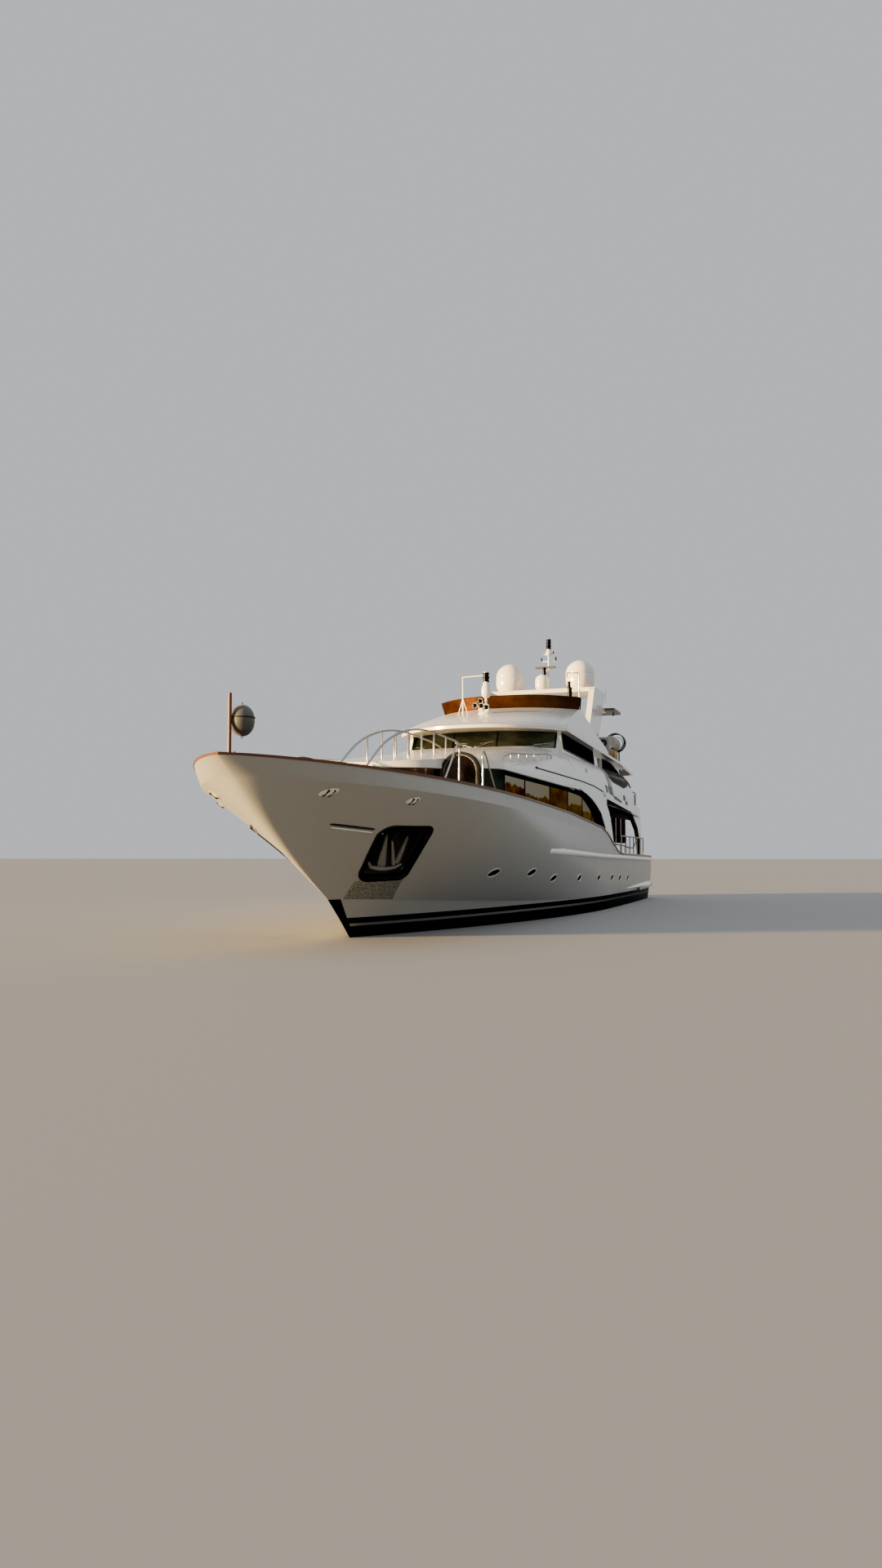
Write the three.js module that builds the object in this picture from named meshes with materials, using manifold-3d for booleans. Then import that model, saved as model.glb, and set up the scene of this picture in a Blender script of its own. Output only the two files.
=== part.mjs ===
// Motor yacht afloat, 38 m long, built piece by piece in millimetres.
// +X points to the bow, +Y to port, +Z up. The origin is amidships on the waterline.
import * as THREE from 'three';
import { mergeVertices } from 'three/addons/utils/BufferGeometryUtils.js';
import Module from 'manifold-3d';

const wasm = await Module();
wasm.setup();

// Driving dimensions
const GAP = 0.3;
const STERN_X = -19050;
const WELL_WALL = 150;
const DECK_THICK = 40;
const HOUSE_WALL = 110;
const DECK_PLATE = 120;
const CAP_THICK = 60;

// Hull lines from keel to cap. Each row: name, x where it meets the stem, half breadth amidships,
// share of it at the transom, x where the bow taper starts, taper powers p and q, height over x.
const rise = (x, from, to, power) => Math.pow(Math.max(0, (x - from) / (to - from)), power);
const run = (x) => rise(x, -8000, STERN_X, 1.5);
const chineZ = (x) => 600 + 460 * rise(x, -3000, 13500, 1.5);
const SWEEP = { front: -3600, back: -8400, top: 3333, drop: 1033 };

function capZ(x) {
  if (x >= 2000) return 3680 + 0.034 * (x - 2000) + 0.0000003 * (x - 2000) ** 2;
  if (x >= SWEEP.front) return 3680 - 0.062 * (2000 - x);
  const t = Math.min(1, (SWEEP.front - x) / (SWEEP.front - SWEEP.back));
  return SWEEP.top - SWEEP.drop * (3 * t * t - 2 * t * t * t) - 0.009 * Math.max(0, SWEEP.back - x);
}
const knuckleZ = (x) => capZ(x) - Math.min(430, 0.2 * (capZ(x) - chineZ(x)));

const LINES = [
  { name: 'keel', stem: 10600, half: 90, aft: 1, taper: 6000, p: 2, q: 1,
    z: (x) => -2100 + 1100 * rise(x, 2000, 10600, 2.2) + 1150 * run(x) },
  { name: 'garboard', stem: 11100, half: 1200, aft: 1, taper: -3000, p: 1.8, q: 1,
    z: (x) => -1750 + 1100 * rise(x, 2000, 11100, 2.2) + 950 * run(x) },
  { name: 'bilge', stem: 11600, half: 3050, aft: 0.96, taper: -5000, p: 1.8, q: 1,
    z: (x) => -1000 + 650 * rise(x, 2000, 11600, 2.2) + 400 * run(x) },
  { name: 'waterline', stem: 12100, half: 3600, aft: 0.93, taper: -6000, p: 1.9, q: 1.02, z: () => 0 },
  { name: 'boot', stem: 12800, half: 3680, aft: 0.93, taper: -6100, p: 1.88, q: 1.03, z: () => 550 },
  { name: 'chine', stem: 13500, half: 3720, aft: 0.93, taper: -6200, p: 1.86, q: 1.04, z: chineZ },
  { name: 'side', stem: 16200, half: 3790, aft: 0.93, taper: 2400, p: 2.16, q: 1.03,
    z: (x) => 0.5 * (chineZ(x) + knuckleZ(x)) },
  { name: 'knuckle', stem: 18350, half: 3820, aft: 0.93, taper: 3500, p: 3.74, q: 1.35, z: knuckleZ },
  { name: 'cap', stem: 19050, half: 3830, aft: 0.93, taper: 4200, p: 2.96, q: 1.37,
    z: (x) => capZ(x) - CAP_THICK },
];

function lineY(line, x) {
  const t = Math.min(1, Math.max(0, (x - line.taper) / (line.stem - line.taper)));
  const stern = 1 - (1 - line.aft) * rise(x, -8000, STERN_X, 2);
  return line.half * stern * Math.pow(1 - Math.pow(t, line.p), 1 / line.q);
}

// Half breadth of the hull at any x and height
function hullY(x, z) {
  const points = [];
  LINES.forEach((line, i) => {
    if (x < line.stem) {
      const below = LINES[i - 1];
      if (below && x >= below.stem) {
        const k = (x - below.stem) / (line.stem - below.stem);
        points.push([0, below.z(below.stem) * (1 - k) + line.z(line.stem) * k]);
      }
      points.push([lineY(line, x), line.z(x)]);
    }
  });
  for (let i = 1; i < points.length; i += 1) {
    const [y0, z0] = points[i - 1];
    const [y1, z1] = points[i];
    if (z <= z1) return y0 + (y1 - y0) * Math.max(0, (z - z0) / (z1 - z0));
  }
  return points.length ? points[points.length - 1][0] : 0;
}

// Height of the stem over x
function stemZ(x) {
  const above = LINES.findIndex((line) => x < line.stem);
  if (above <= 0) return above < 0 ? capZ(x) : -2100;
  const [a, b] = [LINES[above - 1], LINES[above]];
  return a.z(a.stem) + (b.z(b.stem) - a.z(a.stem)) * (x - a.stem) / (b.stem - a.stem);
}

// Heights of the decks over x
const polyline = (points) => (x) => {
  for (let i = 1; i < points.length; i += 1) {
    const [x0, z0] = points[i - 1];
    const [x1, z1] = points[i];
    if (x <= x1 || i === points.length - 1) return z0 + (z1 - z0) * (x - x0) / (x1 - x0);
  }
  return points[0][1];
};
const MAIN_DECK = [[-19050, 2100], [2000, 2100], [9000, 2850], [19050, 3200]];
const mainDeckZ = polyline(MAIN_DECK);
const upperZ = (x) => 4620 + 0.026 * Math.min(0, x);
const sunZ = (x) => 6750 + 0.028 * Math.min(0, x);

// Tools for closed solids
function solidOf(geometry) {
  const plain = geometry.index ? geometry.toNonIndexed() : geometry.clone();
  for (const name of Object.keys(plain.attributes)) {
    if (name !== 'position') plain.deleteAttribute(name);
  }
  const merged = mergeVertices(plain, 0.01);
  const index = merged.index.array;
  const kept = [];
  for (let i = 0; i < index.length; i += 3) {
    const [a, b, c] = [index[i], index[i + 1], index[i + 2]];
    if (a !== b && b !== c && c !== a) kept.push(a, b, c);
  }
  const p = merged.attributes.position;
  const corner = (i) => new THREE.Vector3().fromBufferAttribute(p, i);
  let volume = 0;
  for (let i = 0; i < kept.length; i += 3) {
    volume += corner(kept[i]).dot(corner(kept[i + 1]).cross(corner(kept[i + 2])));
  }
  if (volume < 0) kept.reverse();
  return new wasm.Manifold(new wasm.Mesh({
    numProp: 3,
    vertProperties: new Float32Array(p.array),
    triVerts: new Uint32Array(kept),
  }));
}

function geometryOf(solid) {
  const mesh = solid.getMesh();
  const geometry = new THREE.BufferGeometry();
  geometry.setAttribute('position', new THREE.BufferAttribute(new Float32Array(mesh.vertProperties), 3));
  geometry.setIndex(new THREE.BufferAttribute(new Uint32Array(mesh.triVerts), 1));
  geometry.computeVertexNormals();
  return geometry;
}

function join(...solids) {
  return solids.flat().reduce((all, one) => all.add(one));
}

function cut(solid, ...tools) {
  return tools.flat().reduce((rest, one) => rest.subtract(one), solid);
}

// Solid through rings of points, all with the same count. A ring that has shrunk to a line needs no cap.
function loft(rings, capLast = true) {
  const count = rings[0].length;
  const points = rings.flat().map((p) => [...p]);
  const faces = [];
  for (let i = 0; i + 1 < rings.length; i += 1) {
    for (let j = 0; j < count; j += 1) {
      const a = i * count + j;
      const b = i * count + (j + 1) % count;
      if (j < count / 2) faces.push([a, b, a + count], [b, b + count, a + count]);
      else faces.push([a, b, b + count], [a, b + count, a + count]);
    }
  }
  const cap = (start, flip) => {
    const ring = points.slice(start, start + count);
    points.push([0, 1, 2].map((k) => ring.reduce((sum, p) => sum + p[k], 0) / count));
    const hub = points.length - 1;
    for (let j = 0; j < count; j += 1) {
      const a = start + j;
      const b = start + (j + 1) % count;
      faces.push(flip ? [hub, b, a] : [hub, a, b]);
    }
  };
  cap(0, true);
  if (capLast) cap((rings.length - 1) * count, false);
  const geometry = new THREE.BufferGeometry();
  geometry.setAttribute('position', new THREE.Float32BufferAttribute(points.flat(), 3));
  geometry.setIndex(faces.flat());
  return solidOf(geometry);
}

// Extrusions of an outline: plan upwards, profile across, section lengthways
const shapeOf = (outline) => new THREE.Shape(outline.map(([a, b]) => new THREE.Vector2(a, b)));

function extrude(outline, depth, matrix) {
  const geometry = new THREE.ExtrudeGeometry(shapeOf(outline), { depth, bevelEnabled: false, steps: 1 });
  return solidOf(geometry.applyMatrix4(matrix));
}

function plan(outline, z0, z1) {
  return extrude(outline, z1 - z0, new THREE.Matrix4().makeTranslation(0, 0, z0));
}

function profile(outline, y0, y1) {
  const matrix = new THREE.Matrix4().set(1, 0, 0, 0, 0, 0, 1, y0, 0, 1, 0, 0, 0, 0, 0, 1);
  return extrude(outline, y1 - y0, matrix);
}

function section(outline, x0, x1) {
  const matrix = new THREE.Matrix4().set(0, 0, 1, x0, 1, 0, 0, 0, 0, 1, 0, 0, 0, 0, 0, 1);
  return extrude(outline, x1 - x0, matrix);
}

function box(x0, x1, y0, y1, z0, z1) {
  const geometry = new THREE.BoxGeometry(x1 - x0, y1 - y0, z1 - z0);
  return solidOf(geometry.translate((x0 + x1) / 2, (y0 + y1) / 2, (z0 + z1) / 2));
}

function rod(from, to, radius, sides = 12, radiusTo = radius) {
  const a = new THREE.Vector3(...from);
  const b = new THREE.Vector3(...to);
  const geometry = new THREE.CylinderGeometry(radiusTo, radius, a.distanceTo(b), sides);
  const direction = b.clone().sub(a).normalize();
  const turn = new THREE.Quaternion().setFromUnitVectors(new THREE.Vector3(0, 1, 0), direction);
  const middle = a.clone().add(b).multiplyScalar(0.5);
  return solidOf(geometry.applyQuaternion(turn).translate(middle.x, middle.y, middle.z));
}

function tube(points, radius, steps, sides = 6) {
  const path = new THREE.CatmullRomCurve3(points.map((p) => new THREE.Vector3(...p)), false, 'centripetal');
  const ring = new THREE.Shape().absarc(0, 0, radius, 0, 2 * Math.PI);
  return solidOf(new THREE.ExtrudeGeometry(ring, {
    steps, curveSegments: sides / 2, bevelEnabled: false, extrudePath: path,
  }));
}

function lathe(outline, x, y, z, segments = 24) {
  const geometry = new THREE.LatheGeometry(outline.map(([r, h]) => new THREE.Vector2(r, h)), segments);
  return solidOf(geometry.rotateX(Math.PI / 2).translate(x, y, z));
}

// The other side of the boat
function mirrored(solid) {
  return solid.mirror([0, 1, 0]);
}

function seatedOn(solid, carrier, offset = [0, 0, GAP]) {
  return solid.subtract(carrier.translate(offset));
}

const yacht = new THREE.Group();
function paint(color, roughness, metalness = 0) {
  return new THREE.MeshStandardMaterial({ color, roughness, metalness });
}
const WHITE = paint(0xe9e4d8, 0.25);
const GLASS = paint(0x1b1a16, 0.05);
const BROWN_GLASS = paint(0x5a3018, 0.08);
const TEAK = paint(0xa5764a, 0.6);
const VARNISH = paint(0x7a3d14, 0.2);
const STEEL = paint(0xc9ccd0, 0.18, 1);
const BRONZE = paint(0xa9803e, 0.3, 1);
const BLACK = paint(0x101112, 0.35);

function add(name, solid, material) {
  const mesh = new THREE.Mesh(geometryOf(solid), material);
  mesh.name = name;
  yacht.add(mesh);
  return solid;
}

function addPair(name, solid, material) {
  return [add(`port_${name}`, solid, material), add(`starboard_${name}`, mirrored(solid), material)];
}

// Stations crowd towards the bow, where the plan is round
const lengthShare = (s) => 0.35 * s + 0.65 * Math.sin(s * Math.PI / 2);

// Space inside the bulwarks, from a floor height up
const WELL_STEPS = 26;
function insideHull(wall, floorZ, topZ) {
  const rings = [];
  for (let i = 0; i <= WELL_STEPS; i += 1) {
    const x = -18900 + (37250 - wall) * lengthShare(i / WELL_STEPS);
    const side = (z) => Math.max(5, hullY(x, z) - wall);
    const low = Math.max(floorZ(x), stemZ(x) + 300);
    const high = Math.max(capZ(x), low + 10);
    const half = [low, (low + high) / 2, high].map((z) => [x, side(z), z]);
    half.push([x, side(high), topZ]);
    rings.push([...half, ...half.slice().reverse().map(([, y, z]) => [x, -y, z])]);
  }
  return loft(rings);
}

// Hull
const HULL_STEPS = 40;
const AFT_CUT = { front: -17700, half: 2500, floor: 620 };
const ringAt = (s) => {
  const share = lengthShare(s);
  const half = LINES.map((line) => {
    const x = STERN_X + (line.stem - STERN_X) * share;
    return [x, lineY(line, x), line.z(x)];
  });
  return [...half, ...half.slice().reverse().map(([x, y, z]) => [x, -y, z])];
};
const hullBody = loft(Array.from({ length: HULL_STEPS + 1 }, (_, i) => ringAt(i / HULL_STEPS)), false);
const deckLine = (lift) => MAIN_DECK.map(([x, z]) => [x, z + lift]);
const below = (line, floorZ) => [...line, [line[line.length - 1][0], floorZ], [line[0][0], floorZ]];
const underDeck = (lift) => profile(below(deckLine(lift), -3000), -5000, 5000);
const wellFloorZ = (x) => mainDeckZ(x) - 500;
const well = insideHull(WELL_WALL, wellFloorZ, 6000).subtract(underDeck(-DECK_THICK));
const SHAFT = { y: 1500, z: -1780, radius: 45, front: -8500 };
const PROP = { x: -15450, hub: 110, hubLength: 420 };
const RUDDER = { x: -16300, top: -1150, port: -1100 };
const skeg = profile([[-14000, -1100], [-3500, -1900], [-3500, -2150], [-12800, -2180]], -110, 110);
const bossing = rod([-5200, SHAFT.y, SHAFT.z + 40], [SHAFT.front, SHAFT.y, SHAFT.z], 150, 16, 110);
const rudderPort = rod([RUDDER.x, SHAFT.y, -800], [RUDDER.x, SHAFT.y, RUDDER.port], 190, 20);
const aftCut = box(STERN_X - 500, AFT_CUT.front, -AFT_CUT.half, AFT_CUT.half, AFT_CUT.floor, 6000);

// Band along the quarter at the height of the bathing platform
const quarterBand = () => {
  const xs = [-11900, -13700, -15500, -17300, -19045];
  const height = (x) => 560 + 0.02 * (-11900 - x);
  return loft(xs.map((x, i) => {
    const out = i === 0 ? 10 : 110;
    const y = hullY(x, height(x));
    return [[-60, -110], [out, -80], [out, 80], [-60, 110]].map(([dy, dz]) => [x, y + dy, height(x) + dz]);
  }));
};

// Anchor pockets: a leaning recess with rounded corners in the flare on each side, kept clear of the deck
const POCKET = {
  x: 12900, z: 2230, width: 1750, height: 2060, lean: 170, depth: 320, radii: [320, 200, 520, 320],
};
function surfaceFrame(x, z) {
  const y = hullY(x, z);
  const slopeX = (hullY(x + 200, z) - hullY(x - 200, z)) / 400;
  const slopeZ = (hullY(x, z + 200) - hullY(x, z - 200)) / 400;
  const out = new THREE.Vector3(-slopeX, 1, -slopeZ).normalize();
  const along = new THREE.Vector3(1, slopeX, 0).normalize();
  const up = new THREE.Vector3().crossVectors(along, out).normalize();
  return new THREE.Matrix4().makeBasis(along, up, out).setPosition(x, y, z);
}
const pocketFrame = surfaceFrame(POCKET.x, POCKET.z);
const inPocket = (depth) => pocketFrame.clone().multiply(new THREE.Matrix4().makeTranslation(0, 0, -depth));
function pocketOutline(inset) {
  const [w, h] = [POCKET.width / 2 - inset, POCKET.height / 2 - inset];
  const { lean } = POCKET;
  const corners = [[lean - w, h, 90], [-lean - w, -h, 180], [w - lean, -h, 270], [w + lean, h, 0]];
  return corners.flatMap(([cx, cy, start], i) => [0, 1, 2, 3, 4].map((k) => {
    const a = (start + k * 22.5) * Math.PI / 180;
    const r = POCKET.radii[i] - inset;
    return [cx - Math.sign(cx) * r + r * Math.cos(a), cy - Math.sign(cy) * r + r * Math.sin(a)];
  }));
}
const pocketStop = insideHull(70, (x) => mainDeckZ(x) - 110, 6000);
const pocket = extrude(pocketOutline(0), POCKET.depth + 600, inPocket(POCKET.depth)).subtract(pocketStop);

const band = quarterBand();
const LOCKER = { front: -16900, half: 1300, floor: 860, head: 1900 };
const locker = box(AFT_CUT.front - 10, LOCKER.front, -LOCKER.half, LOCKER.half, LOCKER.floor, LOCKER.head);
const hull = add('hull', cut(
  join(hullBody, skeg, bossing, mirrored(bossing), rudderPort, mirrored(rudderPort), band, mirrored(band)),
  well, aftCut, locker, pocket, mirrored(pocket),
), WHITE);

// Teak deck inside the bulwarks, open over the bathing platform
const deckSpace = insideHull(WELL_WALL + 8, wellFloorZ, 6000);
const mainDeck = add('main_deck', cut(
  deckSpace.intersect(underDeck(0)), underDeck(GAP - DECK_THICK), aftCut,
  box(-19100, -18895, -5000, 5000, 0, 5000), box(16600, 19000, -5000, 5000, 0, 5000),
), TEAK);

// Cap rail: a flat ring that follows the top of the bulwarks and closes to a plate at the stem
function capPlate(inset, shift, low, high, shorten, endX) {
  const capLine = LINES[LINES.length - 1];
  const length = capLine.stem - STERN_X - shorten;
  const rings = [];
  for (let i = 0; i <= HULL_STEPS; i += 1) {
    const x = i < HULL_STEPS ? STERN_X + length * lengthShare(i / HULL_STEPS) : endX;
    const y = Math.max(4, lineY(capLine, x + shift) - inset);
    const z = capZ(x);
    rings.push([[x, -y, z + low], [x, y, z + low], [x, y, z + high], [x, -y, z + high]]);
  }
  return loft(rings);
}
const capRail = add('cap_rail', cut(
  capPlate(-30, 0, GAP - CAP_THICK, 0, 0, 19075),
  capPlate(190, 500, -200, 200, 800, 18260),
), VARNISH);

// White rub rails, a little deeper towards their fore end
const RUB = { aft: -18900, fore: 4900, tip: 80, root: 60, proud: 115, half: 70, more: 35 };
const rubHeight = polyline([[-18900, 2010], [-3800, 2170], [4950, 2350]]);
function rubRing(x, size) {
  const half = (RUB.half + RUB.more * ((x - RUB.aft) / (RUB.fore - RUB.aft)) ** 2) * size;
  const proud = RUB.proud * size;
  const face = [[-RUB.root, -half], [proud * 0.7, -half * 0.93], [proud, -half * 0.35],
    [proud, half * 0.35], [proud * 0.7, half * 0.93], [-RUB.root, half]];
  return face.map(([dy, dz]) => [x, hullY(x, rubHeight(x)) + dy, rubHeight(x) + dz]);
}
const rubRings = [];
for (let i = 0; i <= 16; i += 1) rubRings.push(rubRing(RUB.aft + (RUB.fore - RUB.aft) * i / 16, 1));
rubRings.push(rubRing(RUB.fore + RUB.tip, 0.5));
addPair('rub_rail', cut(loft(rubRings), hullBody.translate([0, GAP, 0])), WHITE);

// Dark metal shoe round the foot of the stem
const shoeArea = profile([[11250, -650], [12200, -650], [13900, 1055], [13100, 1055]], -600, 600);
const shoe = cut(hullBody.translate([26, 0, 0]), hullBody.translate([1, 0, 0]));
add('stem_guard', shoe.intersect(shoeArea), BLACK);

// Anchors in their pockets: a shank on a crown with two shallow flukes, lying on the pocket's back
const ANCHOR = { thick: 170, turn: -0.12 };
const anchorHalf = [[70, 470], [90, -480], [300, -560], [600, -380], [650, -560], [470, -790], [200, -880]];
const anchorOutline = [...anchorHalf, ...anchorHalf.slice().reverse().map(([a, b]) => [-a, b])];
const anchorFrame = inPocket(POCKET.depth - GAP).multiply(new THREE.Matrix4().makeRotationZ(ANCHOR.turn));
addPair('anchor', extrude(anchorOutline, ANCHOR.thick, anchorFrame)
  .intersect(extrude(pocketOutline(15), POCKET.depth, inPocket(POCKET.depth - GAP))), STEEL);

// Foredeck fittings
const WINDLASS_X = 15700;
const windlass = join(
  box(WINDLASS_X - 350, WINDLASS_X + 350, -480, 480, 2900, 3230),
  rod([WINDLASS_X, 300, 3200], [WINDLASS_X, 300, 3600], 150, 20),
  rod([WINDLASS_X, -300, 3200], [WINDLASS_X, -300, 3600], 150, 20),
);
add('windlass', seatedOn(windlass, underDeck(0)), STEEL);
const JACKSTAFF = { x: 18560, top: 5660, radius: 42 };
const staffFoot = capZ(JACKSTAFF.x) - 20;
const staff = rod([JACKSTAFF.x, 0, staffFoot], [JACKSTAFF.x, 0, JACKSTAFF.top], JACKSTAFF.radius, 12);
add('jackstaff', seatedOn(staff, capRail), VARNISH);

// Anchor ball: two half balls on a flat seam, with an eye at each end, hung against the staff
const BALL = { z: 5090, radius: 275, half: 345, awayX: -0.912, awayY: 0.41 };
const ballReach = BALL.radius + JACKSTAFF.radius + 8.2;
const ballTop = [[BALL.radius + 12, 5], [BALL.radius - 1, 9]];
for (let i = 1; i <= 4; i += 1) {
  const a = (i / 5) * Math.PI / 2;
  ballTop.push([BALL.radius * Math.cos(a), BALL.half * Math.sin(a)]);
}
ballTop.push([22, BALL.half - 4], [22, BALL.half + 40], [0, BALL.half + 40]);
const ballProfile = [...ballTop.slice().reverse().map(([r, h]) => [r, -h]), ...ballTop];
add('anchor_ball', lathe(
  ballProfile, JACKSTAFF.x + ballReach * BALL.awayX, ballReach * BALL.awayY, BALL.z, 18,
), BLACK);

// Plan of the upper deck and slices parallel to it
const UPPER = { aft: -17400, front: 1000, side: 3600 };
const upperOutline = [[UPPER.front, UPPER.side - 90], [0, UPPER.side], [-14200, UPPER.side],
  [-16300, 3420], [-17200, 3050], [UPPER.aft, 2500]];
const bothSides = (half) => [...half, ...half.slice().reverse().map(([x, y]) => [x, -y])];
function slab(height, low, high) {
  const line = [-18500, 0, 3000].map((x) => [x, height(x)]);
  const top = line.slice().reverse().map(([x, z]) => [x, z + high]);
  return profile([...line.map(([x, z]) => [x, z + low]), ...top], -5000, 5000);
}
const upperSlab = (low, high) => slab(upperZ, low, high);

// Main deckhouse: walls flush with the bulwark, rounded front, arched passage doors in the flat shoulders
const HOUSE = {
  aft: -7400, side: 3450, shoulder: 9250, face: 9850, faceOut: 3060, faceIn: 1900, nose: 10950, top: 4620,
};
function houseOutline(inset) {
  const half = [[HOUSE.aft + inset, HOUSE.side - inset], [HOUSE.shoulder - inset * 0.4, HOUSE.side - inset],
    [HOUSE.face - inset, HOUSE.faceOut - inset], [HOUSE.face - inset, HOUSE.faceIn]];
  for (let i = 1; i <= 6; i += 1) {
    const a = (i / 6) * Math.PI / 2;
    const reach = HOUSE.nose - HOUSE.face;
    half.push([HOUSE.face - inset + reach * Math.sin(a), (HOUSE.faceIn - 60) * Math.cos(a)]);
  }
  const other = half.slice(0, -1).reverse().map(([x, y]) => [x, -y]);
  return [...half, ...other];
}
const ARCH = { y: 2440, radius: 470, spring: 4520, ring: 90, depth: 260 };
function archOutline(radius, floorZ) {
  const points = [[ARCH.y + radius, floorZ]];
  for (let i = 0; i <= 12; i += 1) {
    const a = (i / 12) * Math.PI;
    points.push([ARCH.y + radius * Math.cos(a), ARCH.spring + radius * Math.sin(a)]);
  }
  return [...points, [ARCH.y - radius, floorZ]];
}
const ARCH_FRONT = HOUSE.face + ARCH.depth;
const doorFloor = mainDeckZ(HOUSE.face) + 110;
const archHole = section(archOutline(ARCH.radius, doorFloor - 6), HOUSE.face - 500, ARCH_FRONT + 100);
const archRing = (gap) => section(
  archOutline(ARCH.radius + ARCH.ring + gap, 2700 - gap), HOUSE.face - 60 - gap, ARCH_FRONT + gap,
);
const archFrame = archRing(0).subtract(archHole);
const archBlock = archRing(GAP);
const PANES = [[7450, 9150], [4230, 7230], [1340, 4010], [-1060, 1120], [-3300, -1280]];
const WINDOW = { sill: 3280, under: 70 };
const windowHead = (x) => upperZ(x) - WINDOW.under;
const paneHoles = PANES.map(([x0, x1]) => profile(
  [[x0, WINDOW.sill], [x1, WINDOW.sill], [x1, windowHead(x1)], [x0, windowHead(x0)]], -5000, 5000,
));
const frontHoles = [[-1500, -60], [60, 1500]].map(([y0, y1]) => box(9950, 12000, y0, y1, 4080, 4560));
const DOORWAY = { half: 1150, head: 4150 };
const houseSpace = insideHull(WELL_WALL + 20, wellFloorZ, 6000);
const houseWalls = cut(
  plan(houseOutline(0), 1900, HOUSE.top - GAP), plan(houseOutline(HOUSE_WALL), 1800, 5000),
  archHole, mirrored(archHole), paneHoles, frontHoles,
  box(HOUSE.aft - 100, HOUSE.aft + 200, -DOORWAY.half, DOORWAY.half, 1900, DOORWAY.head),
);
const houseBody = join(houseWalls, archFrame, mirrored(archFrame)).intersect(houseSpace);
add('main_deckhouse', cut(houseBody, underDeck(GAP), upperSlab(-GAP, 3000)), WHITE);
const glassFace = HOUSE.side - HOUSE_WALL - GAP;
addPair('saloon_glass', box(-3500, 9200, glassFace - 20, glassFace, WINDOW.sill - 60, 4600)
  .subtract(upperSlab(-12, 3000)), BROWN_GLASS);
add('front_cabin_glass', cut(
  plan(houseOutline(HOUSE_WALL + GAP), 4020, 4610), plan(houseOutline(HOUSE_WALL + GAP + 20), 4000, 4700),
).intersect(box(9950, 12000, -1700, 1700, 4000, 4700)), BROWN_GLASS);
const passagePanel = section(archOutline(ARCH.radius - 6, doorFloor), ARCH_FRONT - 40, ARCH_FRONT);
const hingeY = ARCH.y + ARCH.radius - GAP;
const knuckles = [3200, 4300].map((z) => box(ARCH_FRONT - 12, ARCH_FRONT, hingeY - 8, hingeY, z, z + 90));
addPair('passage_door', join(passagePanel, knuckles), BROWN_GLASS);
const saloonDoorX = HOUSE.aft + HOUSE_WALL + 6;
addPair('saloon_door', box(
  saloonDoorX, saloonDoorX + 40, 3, DOORWAY.half + 80, mainDeckZ(HOUSE.aft) + GAP, DOORWAY.head + 60,
), BROWN_GLASS);

// Upper deck: plate, edge band, side sweeps and aft pillars in one moulding
const bandInner = upperOutline.map(([x, y]) => [x + 75, y - 75]);
const edgeBand = cut(plan(bothSides(upperOutline), 3800, 5200), plan(bothSides(bandInner), 3700, 5300))
  .intersect(upperSlab(-110, 330)).intersect(box(-18500, -6000, -5000, 5000, 3000, 6000));
const sweepOutline = [[-560, 4640], [-2460, 4410], [-3910, 4020], [-4810, 3590], [-5700, 3160], [-6500, 2700],
  [-6900, 2130], [-8300, 2130], [-7800, 2600], [-7480, 3050], [-7130, 3540], [-6640, 4010], [-5830, 4460],
  [-5500, 4640]];
const pillarOutline = [[-12360, 4370], [-14060, 4010], [-15400, 3480], [-16060, 2840], [-16160, 2130],
  [-17350, 2130], [-17000, 2900], [-16820, 3220], [-16560, 4090], [-16400, 4400], [-12300, 4500]];
const sweep = profile(sweepOutline, 3465, UPPER.side);
const pillar = profile(pillarOutline, 3250, 3400);
const upperDeck = add('upper_deck', join(
  plan(bothSides(upperOutline), 3000, 6000).intersect(upperSlab(0, DECK_PLATE)), edgeBand,
  join(sweep, mirrored(sweep), pillar, mirrored(pillar)).subtract(upperSlab(DECK_PLATE / 2, 3000)),
), WHITE);

// Coach roof over the forward cabins, rising to the wheelhouse windows
const ROOF = {
  nose: 11100, side: 3520, edge: 4700, low: 4620, noseTop: 4780, slope: 0.135, top: 6120, aft: -350,
};
const roofTop = (x) => Math.min(ROOF.top, ROOF.noseTop + ROOF.slope * (ROOF.nose - x));
function roofRing(x) {
  const power = 4 + 4 * Math.min(1, Math.max(0, (4000 - x) / 4500));
  const half = [[ROOF.side, ROOF.low]];
  for (let i = 0; i <= 10; i += 1) {
    const a = (i / 10) * Math.PI / 2;
    const share = Math.pow(Math.cos(a), 2 / power);
    half.push([ROOF.side * share, ROOF.edge + (roofTop(x) - ROOF.edge) * Math.sin(a)]);
  }
  const other = half.slice(0, -1).reverse().map(([y, z]) => [-y, z]);
  return [...half, ...other].map(([y, z]) => [x, y, z]);
}
const roofRings = [];
for (let i = 0; i <= 14; i += 1) roofRings.push(roofRing(ROOF.aft + (ROOF.nose + 200 - ROOF.aft) * i / 14));
const roofFront = [];
for (let i = 0; i <= 8; i += 1) {
  const a = (i / 8) * Math.PI / 2;
  roofFront.push([10000 + 1100 * Math.sin(a), 1930 * Math.cos(a)]);
}
const roofShoulder = [[-500, 3600], [9350, 3600], [9350, 3520], [9700, 3380], [9900, 3080], [9960, 2100]];
const roofOutline = [...roofShoulder, ...roofFront];
const WHEELHOUSE = { front: 950, corner: 1150, side: 2930, aft: -13800, sill: 6100, top: 6900, rake: 0.45 };
function nosePlan(inset, z) {
  const back = Math.max(0, z - WHEELHOUSE.sill) * WHEELHOUSE.rake;
  const ring = [];
  for (let i = -8; i <= 8; i += 1) {
    const y = (WHEELHOUSE.side - inset) * i / 8;
    ring.push([WHEELHOUSE.front - inset - back - WHEELHOUSE.corner * (i / 8) ** 2, y, z]);
  }
  return [[-700, WHEELHOUSE.side - inset, z], [-700, inset - WHEELHOUSE.side, z], ...ring];
}
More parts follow.
